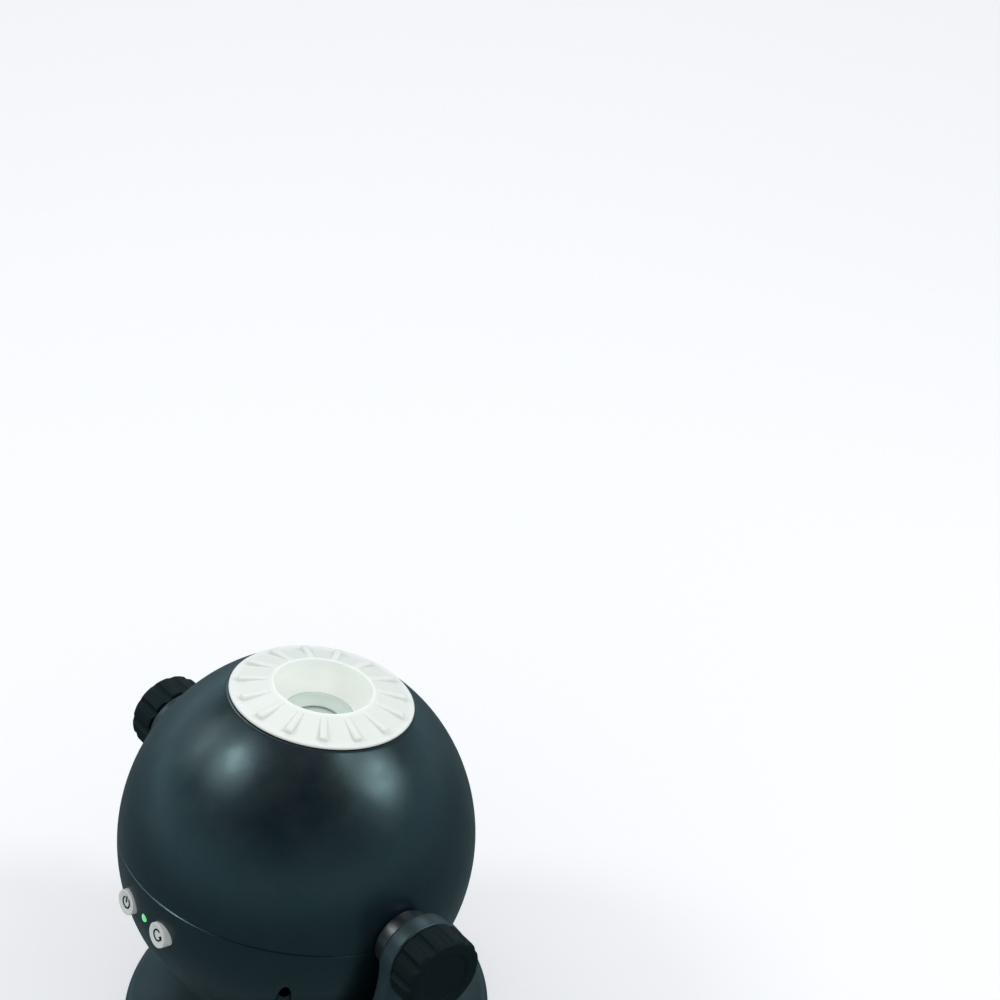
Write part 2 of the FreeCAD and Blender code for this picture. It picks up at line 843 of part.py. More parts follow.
def hub_profile(name):
    flange_face = across(dim.ball_radius - dim.shell_wall, dim.hub_flange_radius) - dim.fit_gap
    stud_end = knob_start + dim.stud_length
    neck_end = arm_outer_radius - dim.fit_gap
    return turn_profile(name, [
        (flange_face - dim.hub_flange_thickness, 0),
        (stud_end, 0),
        (stud_end, dim.stud_radius),
        (neck_end, dim.stud_radius),
        (neck_end, dim.hub_neck_radius),
        (washer_start, dim.hub_neck_radius),
        (washer_start, dim.hub_shoulder_radius),
        (shoulder_start, dim.hub_shoulder_radius),
        (shoulder_start, dim.hub_neck_radius),
        (flange_face, dim.hub_neck_radius),
        (flange_face, dim.hub_flange_radius),
        (flange_face - dim.hub_flange_thickness, dim.hub_flange_radius),
    ], axis="H_Axis")


def build_hubs():
    right, left = both_sides("hub", hub_profile)
    head_piece(right, "pivot_hub_right")
    head_piece(left, "pivot_hub_left")


def build_washers():
    def washer_pair(name):
        inner = tube(f"{name}_inner", dim.washer_radius, dim.hub_neck_radius + dim.fit_gap,
                     dim.washer_thickness, (washer_start, 0, 0), "x")
        outer = tube(f"{name}_outer", dim.washer_radius, dim.stud_radius + dim.fit_gap,
                     dim.washer_thickness, (arm_outer_radius, 0, 0), "x")
        return fuse(f"{name}_both", [inner, outer])

    right, left = both_sides("washer", washer_pair)
    head_piece(fuse("washer_group", [right, left]), "friction_washers")


def build_bushes():
    def bush(name):
        return tube(name, dim.hub_neck_radius + dim.bush_wall,
                    dim.hub_neck_radius + dim.bore_gap, dim.arm_thickness,
                    (arm_inner_radius, 0, pivot_height), "x")

    right, left = both_sides("bush", bush)
    stand_piece(right, "pivot_bush_right")
    stand_piece(left, "pivot_bush_left")


def build_knobs():
    def knob(name):
        end = knob_start + dim.knob_length
        body = turn_profile(name, [
            (knob_start, dim.insert_radius),
            (knob_start, dim.knob_radius - dim.knob_edge),
            (knob_start + dim.knob_edge, dim.knob_radius, -dim.knob_edge),
            (end - dim.knob_rounding, dim.knob_radius),
            (end, dim.knob_radius - dim.knob_rounding, -dim.knob_rounding),
            (end, 0),
            (knob_start + dim.stud_length + dim.running_gap, 0),
            (knob_start + dim.stud_length + dim.running_gap, dim.insert_radius),
        ], axis="H_Axis")
        flute = draw_circle(
            attach(body, "YZ", knob_start + dim.knob_edge),
            (0, dim.knob_radius + dim.knob_flute_offset), dim.knob_flute_radius)
        groove = extrude_cut(body, flute, 2 * dim.knob_length, both_ways=True)
        repeat_round(body, groove, flute, dim.knob_flutes, axis="N_Axis")
        return body

    def insert(name):
        return tube(name, dim.insert_radius, dim.stud_radius + dim.bore_gap, dim.stud_length,
                    (knob_start, 0, 0), "x")

    for piece, make in (("knob", knob), ("knob_insert", insert)):
        right, left = both_sides(piece, make)
        head_piece(right, f"{piece}_right")
        head_piece(left, f"{piece}_left")


# ----------------------------------------------------------------------------------------------
# Focus ring with its cam slots, and the clip that holds it down
# ----------------------------------------------------------------------------------------------
def build_focus_ring():
    band_start = dim.ring_radius - dim.ring_band_width
    cone_end = dim.ring_lip_radius + dim.ring_lip_width
    lip_rounding = dim.ring_lip_width / 2
    body = turn_profile("focus_ring", [
        (dim.ring_radius, ring_low),
        (dim.ring_radius, ring_low + dim.ring_rim_rise),
        (dim.ring_radius - dim.ring_rim_rounding, band_top, dim.ring_rim_curve),
        (band_start, band_top),
        (cone_end, lip_top - lip_rounding),
        (dim.ring_lip_radius, lip_top - lip_rounding, lip_rounding + dim.ring_lip_ease),
        (dim.throat_radius, bowl_floor, -dim.bowl_curve),
        (dim.throat_radius, bowl_floor - dim.bowl_wall),
        (dim.throat_radius + dim.throat_land, bowl_floor - dim.bowl_wall),
        (skirt_bore, ring_low - dim.bowl_web),
        (skirt_bore, skirt_low),
        (dim.skirt_radius, skirt_low),
        (dim.skirt_radius, clip_top - dim.clip_thickness),
        (dim.skirt_radius - dim.clip_depth, clip_top - dim.clip_thickness),
        (dim.skirt_radius - dim.clip_depth, clip_top),
        (dim.skirt_radius, clip_top),
        (dim.skirt_radius, ring_low),
    ])
    rib_end = band_start - dim.rib_inset
    cone_drop = (lip_top - lip_rounding - band_top) / (band_start - cone_end)
    rib_top = band_top + cone_drop * dim.rib_rounding + dim.rib_height
    first_turn = Rotation(Vector(0, 1, 0), dim.rib_angle.value)
    rib = draw_outline(attach(body, "XZ", turn=first_turn), [
        (cone_end - lip_rounding / 2, band_top),
        (rib_end, band_top - dim.ring_rim_rise / 2),
        (rib_end, rib_top - dim.rib_rounding),
        (rib_end - dim.rib_rounding, rib_top, dim.rib_rounding),
        (cone_end - lip_rounding / 2, lip_top - lip_rounding / 2),
    ])
    rib.setExpression("AttachmentOffset.Rotation.Angle", dim.rib_angle.text)
    bar = extrude(body, rib, dim.rib_width, both_ways=True)
    across_plane = attach(body, "XY")
    repeat_round(body, bar, across_plane, dim.rib_count)
    slot_half = dim.pin_radius + dim.bearing_gap
    slot_start = cam_span / 2 + QUARTER_TURN
    slot_low = pin_height - cam_rise / 2 - slot_half
    slot_top = slot_low + 2 * slot_half
    start_turn = Rotation(Vector(0, 1, 0), slot_start.value)
    slot = draw_outline(attach(body, "XZ", turn=start_turn), [
        (skirt_bore - dim.running_gap, slot_low),
        (dim.skirt_radius + dim.running_gap, slot_low),
        (dim.skirt_radius + dim.running_gap, slot_top),
        (skirt_bore - dim.running_gap, slot_top),
    ])
    slot.setExpression("AttachmentOffset.Rotation.Angle", slot_start.text)
    cam = body.newObject("PartDesign::SubtractiveHelix", "cam_slot")
    cam.Profile = slot
    cam.ReferenceAxis = (slot, ["V_Axis"])
    cam.Mode = "pitch-height-angle"
    bind(cam, Pitch=cam_pitch, Height=cam_rise)
    cam.LeftHanded = True
    repeat_round(body, cam, across_plane, PINS)
    head_piece(body, "focus_ring")


def build_ring_clip():
    """A spring clip in the groove of the skirt, open over a small arc."""
    ring = tube("clip", dim.skirt_radius + dim.clip_width, dim.skirt_radius - dim.clip_depth
                + dim.bore_gap, dim.clip_thickness - dim.fit_gap,
                (0, 0, clip_top - dim.clip_thickness + dim.bore_gap))
    mouth = block("clip_mouth", dim.skirt_radius, dim.clip_mouth, 2 * dim.clip_thickness,
                  (-dim.skirt_radius, 0, clip_top - 2 * dim.clip_thickness + dim.fit_gap))
    head_piece(cut("clip_open", ring, [mouth]), "ring_clip")


# ----------------------------------------------------------------------------------------------
# Lens barrel, lenses, pins and the guide tube on its bridge
# ----------------------------------------------------------------------------------------------
def build_barrel():
    barrel = turn_profile("barrel", [
        (lens_radius - dim.lens_seat, barrel_low),
        (dim.barrel_radius, barrel_low),
        (dim.barrel_radius, barrel_top),
        (lens_radius, barrel_top),
        (lens_radius, rear_seat),
        (lens_radius - dim.lens_seat, rear_seat),
    ])
    holes = follower_rods("pin_hole", dim.pin_radius)
    head_piece(cut("barrel_cut", barrel, holes), "lens_barrel")
    head_piece(fuse("pin_group", follower_rods("pin", dim.pin_radius)), "follower_pins")
    glass_radius = lens_radius - dim.fit_gap
    head_piece(lens("rear_glass", rear_seat, dim.rear_lens_edge, dim.rear_lens_dome),
               "rear_lens")
    head_piece(tube("spacer", glass_radius, glass_radius - dim.lens_seat,
                    front_seat - spacer_low, (0, 0, spacer_low)), "lens_spacer")
    head_piece(lens("front_glass", front_seat, dim.front_lens_edge, dim.front_lens_dome),
               "front_lens")
    head_piece(retaining_ring("retainer", glass_radius), "lens_retaining_ring")


def retaining_ring(name, rim):
    """The ring that holds the front lens. Its nose fills the throat of the bowl, and is dished
    down to a round eye over the lens."""
    nose_radius = dim.throat_radius - dim.nose_gap
    nose_bore = nose_radius - dim.nose_wall
    seat_bore = rim - dim.lens_seat
    return turn_profile(name, [
        (seat_bore, barrel_top - dim.retainer_length),
        (rim, barrel_top - dim.retainer_length),
        (rim, barrel_top),
        (nose_radius, barrel_top),
        (nose_radius, barrel_top + dim.nose_length),
        (nose_bore, barrel_top + dim.nose_length),
        (dim.eye_radius, barrel_top + dim.eye_edge, -dim.eye_curve),
        (dim.eye_radius, barrel_top),
        (seat_bore, barrel_top - dim.nose_shelf),
    ])


def lens(name, low, edge, dome):
    """A flat-backed lens: a domed middle inside the flat rim that its seat ring holds."""
    rim = lens_radius - dim.fit_gap
    clear = rim - dim.lens_seat - dim.fit_gap
    return turn_profile(name, [
        (0, low),
        (rim, low),
        (rim, low + edge),
        (clear, low + edge),
        (0, low + edge + dome, dome_radius(clear, dome)),
    ])


def follower_rods(name, radius):
    """Three short rods that reach out from the barrel into the cam slots."""
    start = lens_radius + dim.running_gap
    reach = dim.skirt_radius - dim.running_gap - start
    rods = []
    for index, turn in enumerate(pin_angles):
        pin = rod(f"{name}{index}", radius, reach,
                  (start * cosine(turn), start * sine(turn), pin_height))
        pin.Placement.Rotation = Rotation(Vector(0, 0, 1), turn).multiply(TURN_TO_AXIS["x"])
        rods.append(pin)
    return rods


def build_lens_guide():
    plate = block("bridge_plate", 2 * dim.bridge_half_length, 2 * dim.bridge_half_width,
                  dim.bridge_thickness, (0, 0, bridge_low))
    sleeve = rod("guide_sleeve", guide_radius, guide_top - bridge_low,
                 (0, 0, bridge_low))
    bore = rod("guide_bore", guide_bore, guide_top - bridge_low,
               (0, 0, bridge_low))
    slot_low = pin_height - dim.focus_travel - 2 * dim.pin_radius
    slots = []
    for index, turn in enumerate(pin_angles):
        slot = doc.addObject("Part::Box", f"guide_slot{index}")
        half = dim.pin_radius + dim.bearing_gap
        bind(slot, Length=guide_radius, Width=2 * half, Height=guide_top - slot_low)
        start = 2 * dim.pin_radius
        move(slot, (start * cosine(turn) + half * sine(turn),
                    start * sine(turn) - half * cosine(turn), slot_low))
        slot.Placement.Rotation = Rotation(Vector(0, 0, 1), turn)
        slots.append(slot)
    holes = upright_holes("bridge_hole", post_spots, dim.bridge_thickness, bridge_low,
                          pilot_radius)
    head_piece(cut("guide_cut", fuse("guide_whole", [plate, sleeve]), [bore] + slots + holes),
               "lens_guide")
    posts = upright_holes("post_rod", post_spots, bridge_low - chassis_top, chassis_top,
                          dim.post_radius)
    drilled = cut("posts_cut", fuse("post_group", posts), upright_holes(
        "post_pilot", post_spots, dim.pilot_depth, bridge_low - dim.pilot_depth,
        pilot_radius))
    head_piece(drilled, "bridge_posts")
    head_piece(screw_group("bridge_screw", post_spots,
                           bridge_low - dim.pilot_depth + dim.running_gap, bridge_top,
                           up=True), "bridge_screws")


# ----------------------------------------------------------------------------------------------
# Chassis, rails, tray and the star disc with its gear train
# ----------------------------------------------------------------------------------------------
def build_chassis():
    plate = new_body("chassis")
    sketch = attach(plate, "XY", chassis_low)
    draw_circle(sketch, (0, 0), chassis_radius)
    draw_circle(sketch, (0, 0), dim.condenser_radius)
    extrude(plate, sketch, dim.chassis_thickness)
    holes = upright_holes("chassis_hole", hanger_spots, dim.chassis_thickness,
                          chassis_low, pilot_radius)
    holes.append(rod("shaft_hole", dim.motor_screw_reach / 2, dim.chassis_thickness,
                     (pinion_x, pinion_y, chassis_low)))
    holes.append(rod("idler_hole", dim.idler_pin_radius, dim.chassis_thickness,
                     (0, -idler_reach, chassis_low)))
    holes += upright_holes("motor_hole", motor_screw_spots, dim.chassis_thickness,
                           chassis_low, small_pilot_radius)
    head_piece(cut("chassis_cut", plate, holes), "chassis_plate")
    head_piece(screw_group("chassis_screw", hanger_spots, chassis_low,
                           chassis_top + dim.pilot_depth - dim.running_gap,
                           up=False), "chassis_screws")
    pin_top = gear_top + dim.running_gap
    head_piece(fuse("idler_pin_whole", [
        rod("idler_pin_rod", dim.idler_pin_radius, pin_top - chassis_low,
            (0, -idler_reach, chassis_low)),
        rod("idler_pin_head", dim.idler_pin_radius * 2, dim.idler_pin_radius,
            (0, -idler_reach, pin_top)),
    ]), "idler_pin")


def build_rails():
    rails = []
    for side in (-1, 1):
        near = dim.tray_half_width + dim.running_gap
        length = dim.tray_front + rail_end
        middle = (rail_end - dim.tray_front) / 2
        wall = block(f"rail_wall{side}", dim.rail_wall, length, rail_top - chassis_top,
                     (side * (near + dim.rail_wall / 2), middle, chassis_top))
        ledge = block(f"rail_ledge{side}", dim.rail_wall, length, dim.ledge_height,
                      (side * (near - dim.rail_wall / 2), middle, chassis_top))
        lip_width = dim.rail_wall / 2
        lip = block(f"rail_lip{side}", lip_width, length, dim.ledge_height,
                    (side * (near - lip_width / 2), middle, tray_top + dim.running_gap))
        rails.append(fuse(f"rail{side}", [wall, ledge, lip]))
    head_piece(fuse("rail_group", rails), "tray_rails")


def build_tray():
    plate = common("tray_plate", block(
        "tray_block", 2 * dim.tray_half_width, dim.tray_front + dim.ball_radius,
        dim.tray_thickness, (0, (dim.ball_radius - dim.tray_front) / 2, tray_low)),
        egg("tray_egg"))
    door_block = common("door_block", block(
        "door_box", 2 * dim.tray_half_width, dim.ball_radius, dim.door_height,
        (0, dim.tray_front + dim.ball_radius / 2, tray_low)), egg("door_egg"))
    door = cut("door_wall", door_block, [core("door_core")])
    grip = cut("grip_bar", block(
        "grip_box", 2 * dim.grip_half_width, dim.grip_reach + grip_end - dim.ball_radius / 2,
        dim.grip_thickness,
        (0, (grip_end + dim.grip_reach + dim.ball_radius / 2) / 2,
         tray_low + (dim.door_height - dim.grip_thickness) / 2)), [core("grip_core")])
    collar = rod("disc_collar", disc_collar_radius, film_low - dim.running_gap - tray_low,
                 (0, 0, tray_low))
    light_hole = rod("light_hole", dim.light_hole_radius, film_low - tray_low,
                     (0, 0, tray_low))
    whole = fuse("tray_whole", [plate, door, grip, collar])
    head_piece(cut("tray_cut", whole, [light_hole]), "disc_tray")


def toothed_wheel(name, teeth, low, thickness):
    """A spur wheel: a root disc with straight-flanked teeth in a round pattern."""
    body = new_body(name)
    pitch_radius = teeth * dim.gear_module / 2
    addendum = ADDENDUM_SHARE * dim.gear_module
    dedendum = DEDENDUM_SHARE * dim.gear_module
    tip = pitch_radius + addendum
    valley = pitch_radius - dedendum
    half = math.pi / 4 * dim.gear_module - dim.gear_backlash / 2
    tip_half = half - FLANK_SLOPE * addendum
    valley_half = half + FLANK_SLOPE * dedendum
    disc = draw_circle(attach(body, "XY", low), (0, 0), valley)
    extrude(body, disc, thickness)
    sunk = valley - dim.gear_module / 2
    tooth = draw_outline(attach(body, "XY", low), [
        (sunk, -valley_half),
        (valley, -valley_half),
        (tip, -tip_half),
        (tip, tip_half),
        (valley, valley_half),
        (sunk, valley_half),
    ])
    repeat_round(body, extrude(body, tooth, thickness), tooth, teeth)
    return body


def build_disc():
    wheel = toothed_wheel("disc_wheel", dim.disc_teeth, gear_low, dim.gear_thickness)
    bore = rod("disc_bore", disc_collar_radius + dim.fit_gap, dim.gear_thickness,
               (0, 0, gear_low))
    recess = rod("film_recess", dim.film_radius + dim.fit_gap, dim.gear_thickness,
                 (0, 0, film_low))
    head_piece(cut("disc_wheel_cut", wheel, [bore, recess]), "disc_gear_frame")
    head_piece(rod("film", dim.film_radius, dim.film_thickness, (0, 0, film_low)),
               "star_disc")


def build_gear_train():
    hub_low = chassis_top + dim.fit_gap
    idler = toothed_wheel("idler_wheel", dim.idler_teeth, gear_low, dim.gear_thickness)
    idler_hub = rod("idler_hub", 2 * dim.idler_pin_radius, gear_low - hub_low, (0, 0, hub_low))
    idler_bore = rod("idler_bore", dim.idler_pin_radius + dim.bore_gap,
                     gear_top - hub_low, (0, 0, hub_low))
    idler_whole = cut("idler_cut", fuse("idler_whole", [idler, idler_hub]), [idler_bore])
    head_piece(move_copy("idler_moved", idler_whole, 0, -idler_reach), "idler_gear")
    pinion = toothed_wheel("pinion_wheel", dim.pinion_teeth, gear_low, dim.gear_thickness)
    pinion_hub = rod("pinion_hub", 2 * dim.motor_shaft_radius, gear_low - hub_low,
                     (0, 0, hub_low))
    pinion_bore = rod("pinion_bore", dim.motor_shaft_radius, gear_top - hub_low,
                      (0, 0, hub_low))
    pinion_whole = cut("pinion_cut", fuse("pinion_whole", [pinion, pinion_hub]),
                       [pinion_bore])
    phase = dim.pinion_angle + HALF_TURN + HALF_TURN / dim.pinion_teeth
    head_piece(move_copy("pinion_moved", pinion_whole, pinion_x, pinion_y, phase),
               "motor_pinion")
    head_piece(rod("shaft", dim.motor_shaft_radius, gear_top - chassis_low,
                   (pinion_x, pinion_y, chassis_low)), "motor_shaft")
    case = rod("motor_case", dim.motor_radius, dim.motor_length,
               (pinion_x, pinion_y, chassis_low - dim.motor_length))
    holes = upright_holes("motor_pilot", motor_screw_spots, dim.motor_screw_depth,
                          chassis_low - dim.motor_screw_depth,
                          small_pilot_radius)
    head_piece(cut("motor_cut", case, holes), "gearmotor")
    head_piece(screw_group("motor_screw", motor_screw_spots,
                           chassis_low - dim.motor_screw_depth + dim.running_gap,
                           chassis_top, up=True, make="small"), "motor_screws")


def move_copy(name, thing, spot_x, spot_y, turn=0):
    """A copy of thing moved in X and Y, and turned about its own Z."""
    thing.Placement = Placement(
        Vector(Size.of(spot_x).value, Size.of(spot_y).value, 0),
        Rotation(Vector(0, 0, 1), Size.of(turn).value),
    )
    for letter, given in (("x", spot_x), ("y", spot_y)):
        if isinstance(given, Size):
            thing.setExpression(f"Placement.Base.{letter}", given.text)
    if isinstance(turn, Size):
        thing.setExpression("Placement.Rotation.Angle", turn.text)
    return group(name, [thing])


# ----------------------------------------------------------------------------------------------
# Lamp: cone, condenser, board, emitter and heat sink
# ----------------------------------------------------------------------------------------------
def build_lamp():
    cone_bore = dim.condenser_radius + dim.fit_gap
    cone_radius = cone_bore + dim.cone_wall
    throat_radius = dim.lamp_hole_radius + dim.cone_wall
    foot_top = cone_low + dim.cone_flange_thickness
    head_piece(turn_profile("cone", [
        (dim.lamp_hole_radius, cone_low),
        (dim.cone_foot_radius, cone_low),
        (dim.cone_foot_radius, foot_top),
        (throat_radius, foot_top),
        (cone_radius, condenser_low - dim.cone_wall),
        (cone_radius, chassis_low - dim.cone_flange_thickness),
        (dim.cone_flange_radius, chassis_low - dim.cone_flange_thickness),
        (dim.cone_flange_radius, chassis_low),
        (cone_bore, chassis_low),
        (cone_bore, condenser_low),
        (cone_bore - dim.cone_wall, condenser_low),
        (dim.lamp_hole_radius, foot_top),
    ]), "light_cone")
    edge_top = condenser_low + dim.condenser_edge
    head_piece(turn_profile("condenser", [
        (0, condenser_low),
        (dim.condenser_radius, condenser_low),
        (dim.condenser_radius, edge_top),
        (0, edge_top + dim.condenser_dome,
         dome_radius(dim.condenser_radius, dim.condenser_dome)),
    ]), "condenser_lens")
    board_low = cone_low - dim.lamp_board_thickness
    holes = upright_holes("lamp_board_hole", sink_screw_spots, dim.lamp_board_thickness,
                          board_low, small_pilot_radius)
    head_piece(cut("lamp_board_cut", rod("lamp_board_disc", dim.cone_foot_radius,
                                         dim.lamp_board_thickness, (0, 0, board_low)), holes),
               "led_board")
    head_piece(turn_profile("lamp", [
        (0, cone_low),
        (dim.lamp_radius, cone_low),
        (dim.lamp_radius, cone_low + dim.lamp_rim),
        (0, cone_low + dim.lamp_rim + dim.lamp_dome,
         dome_radius(dim.lamp_radius, dim.lamp_dome)),
    ]), "led_emitter")
    sink_top = board_low
    plate_low = sink_top - dim.sink_base
    fin_count = int(dim.sink_fins.value)
    first_fin = (dim.sink_fins - 1) * dim.sink_fin_pitch / 2
    base = rod("sink_plate", dim.sink_radius, dim.sink_base, (0, 0, plate_low))
    fins = [
        block(f"sink_fin{index}", dim.sink_fin_thickness, dim.sink_fin_width,
              dim.sink_fin_length,
              (index * dim.sink_fin_pitch - first_fin, 0, plate_low - dim.sink_fin_length))
        for index in range(fin_count)
    ]
    bores = upright_holes("sink_hole", sink_screw_spots, dim.sink_base, plate_low,
                          small_pilot_radius)
    head_piece(cut("sink_cut", fuse("sink_whole", [base] + fins), bores), "heat_sink")
    head_piece(screw_group("sink_screw", sink_screw_spots, plate_low, cone_low, up=False,
                           make="small"), "heat_sink_screws")


# ----------------------------------------------------------------------------------------------
# Control board, buttons and indicator
# ----------------------------------------------------------------------------------------------
def build_controls():
    low = dim.button_height - dim.board_half_height
    board = block("board_block", 2 * dim.board_half_width, dim.board_thickness,
                  2 * dim.board_half_height,
                  (0, -board_front + dim.board_thickness / 2, low))
    holes = [
        rod(f"board_hole{index}", pilot_radius, dim.board_thickness,
            (spot_x, -board_front, spot_h), "y")
        for index, (spot_x, spot_h) in enumerate(board_screw_spots)
    ]
    head_piece(cut("board_cut", board, holes), "main_board")
    screws = []
    for index, (spot_x, spot_h) in enumerate(board_screw_spots):
        start = -board_front - dim.board_screw_length + dim.running_gap
        back = -board_front + dim.board_thickness
        screws.append(fuse(f"board_screw{index}", [
            rod(f"board_shank{index}", dim.screw_radius, back - start,
                (spot_x, start, spot_h), "y"),
            rod(f"board_head{index}", dim.screw_head_radius, dim.screw_head_height,
                (spot_x, back, spot_h), "y"),
        ]))
    head_piece(fuse("board_screw_group", screws), "board_screws")
    plunger_reach = board_front + dim.switch_depth
    switches = []
    for index, spot_x in enumerate(button_places):
        switches.append(fuse(f"switch{index}", [
            block(f"switch_case{index}", dim.switch_width, dim.switch_depth,
                  dim.switch_width, (spot_x, -board_front - dim.switch_depth / 2,
                                     dim.button_height - dim.switch_width / 2)),
            rod(f"switch_plunger{index}", dim.plunger_radius, dim.running_gap,
                (spot_x, -plunger_reach - dim.running_gap, dim.button_height), "y"),
        ]))
    head_piece(fuse("switch_group", switches), "tact_switches")
    head_piece(rod("pipe", dim.light_pipe_radius, outside(dim.button_height)
                   - board_front, (0, -outside(dim.button_height), dim.button_height),
                   "y"), "indicator_lens")
    stem_end = plunger_reach + dim.button_travel + 2 * dim.running_gap
    for spot_x, label in zip(button_places, ("power_button", "rotate_button")):
        head_piece(fuse(f"{label}_whole", [
            rod(f"{label}_cap", dim.button_radius, button_face - button_flange_back,
                (spot_x, -button_face, dim.button_height), "y"),
            rod(f"{label}_flange", dim.button_flange_radius, dim.button_flange_thickness,
                (spot_x, -button_flange_back - dim.button_flange_thickness,
                 dim.button_height), "y"),
            rod(f"{label}_stem", dim.button_stem_radius, button_flange_back - stem_end,
                (spot_x, -button_flange_back, dim.button_height), "y"),
        ]), label)


# ----------------------------------------------------------------------------------------------
# Battery box, cells, contacts and the hatch
# ----------------------------------------------------------------------------------------------
def build_battery_box():
    inner = block("box_room", box_inner_length, box_inner_width,
                  box_inner_height, (0, 0, keel_floor))
    outer = block("box_block", box_inner_length + 2 * dim.box_wall,
                  box_inner_width + 2 * dim.box_wall,
                  box_inner_height + dim.box_wall, (0, 0, keel_floor))
    head_piece(cut("box_cut", outer, [inner]), "battery_box")
    cells = []
    contacts = []
    first_row = (dim.cell_count - 1) * dim.cell_pitch / 2
    cell_centre = keel_floor + dim.cell_radius + dim.running_gap
    for index in range(int(dim.cell_count.value)):
        row = index * dim.cell_pitch - first_row
        start = -dim.cell_length / 2
        cells.append(fuse(f"cell{index}", [
            rod(f"cell_can{index}", dim.cell_radius, dim.cell_length,
                (start, row, cell_centre), "x"),
            rod(f"cell_cap{index}", dim.cell_cap_radius, dim.cell_cap_length,
                (start + dim.cell_length, row, cell_centre), "x"),
        ]))
    for side in (-1, 1):
        contacts.append(block(f"contact{side}", dim.contact_thickness,
                              box_inner_width - 2 * dim.contact_margin,
                              dim.contact_height,
                              (side * (box_inner_length / 2 - dim.contact_thickness / 2),
                               0, keel_floor + dim.contact_rise)))
    head_piece(fuse("cell_group", cells), "batteries")
    head_piece(fuse("contact_group", contacts), "battery_contacts")
    hatch = block("hatch", hatch_length, hatch_width, dim.shell_wall, (0, 0, keel))
    thumb_place = (0, hatch_width / 2 - dim.thumb_radius, keel - dim.shell_wall
                   + dim.thumb_depth)
    thumb = rod("thumb_recess", dim.thumb_radius, dim.shell_wall, thumb_place)
    head_piece(cut("hatch_cut", hatch, [thumb]), "battery_cover")


# ----------------------------------------------------------------------------------------------
# Stand
# ----------------------------------------------------------------------------------------------
def build_base():
    slope_end = dim.base_radius - dim.base_shoulder
    wall = turn_profile("base_wall", [
        (plate_radius + dim.bearing_gap, dim.foot_height),
        (dim.base_radius, dim.foot_height),
        (dim.base_radius, dim.base_rim_height),
        (slope_end, dim.base_rim_height + dim.base_shoulder, dim.base_shoulder_curve),
        (dim.plateau_radius, dim.base_height, dim.base_slope_curve),
        (0, dim.base_height),
        (0, base_ceiling),
        (dim.plateau_radius, base_ceiling),
        (slope_end, dim.base_rim_height + dim.base_shoulder - dim.base_wall
         - dim.plate_thickness, -dim.base_slope_curve),
        (plate_radius + dim.bearing_gap, plate_top + dim.fit_gap),
    ])
    bosses = common("base_bosses", fuse("base_boss_rods", upright_holes(
        "base_boss", base_screw_spots, dim.base_height - plate_top, plate_top,
        dim.tower_radius)), base_solid("base_boss_limit"))
    holes = upright_holes("base_pilot", base_screw_spots, dim.pilot_depth, plate_top
                          - dim.plate_thickness, pilot_radius)
    holes += upright_holes("arm_hole", arm_screw_spots, dim.base_wall, base_ceiling,
                           pilot_radius)
    stand_piece(cut("base_cut", fuse("base_whole", [wall, bosses]), holes), "base_shell")
    plate = rod("plate_disc", plate_radius, dim.plate_thickness, (0, 0, dim.foot_height))
    stand_piece(cut("plate_cut", plate, upright_holes(
        "plate_hole", base_screw_spots, dim.plate_thickness, dim.foot_height, pilot_radius)),
        "base_plate")
    stand_piece(screw_group("base_screw", base_screw_spots, dim.foot_height,
                            dim.foot_height + dim.pilot_depth - dim.running_gap,
                            up=False, make="flat"), "base_screws")
    stand_piece(rod("ballast", dim.ballast_radius, dim.ballast_thickness,
                    (0, 0, plate_top)), "ballast_weight")
    feet = [
        rod(f"foot{index}", dim.foot_radius, dim.foot_height, (spot_x, spot_y, 0))
        for index, (spot_x, spot_y) in enumerate(foot_spots)
    ]
    stand_piece(fuse("foot_group", feet), "rubber_feet")


def base_solid(name):
    """The base as one solid up to half of its top wall, which bosses are trimmed by."""
    slope_end = dim.base_radius - dim.base_shoulder
    skin = dim.base_wall / 2
    return turn_profile(name, [
        (0, dim.foot_height),
        (dim.base_radius - skin, dim.foot_height),
        (dim.base_radius - skin, dim.base_rim_height),
        (slope_end, dim.base_rim_height + dim.base_shoulder - skin),
        (dim.plateau_radius, dim.base_height - skin, dim.base_slope_curve),
        (0, dim.base_height - skin),
    ])


def build_arms():
    right, left = both_sides("arm", arm)
    stand_piece(right, "yoke_arm_right")
    stand_piece(left, "yoke_arm_left")
    stand_piece(screw_group("arm_screw", arm_screw_spots, base_ceiling,
                            dim.base_height + dim.arm_screw_bite - dim.running_gap,
                            up=False), "arm_screws")


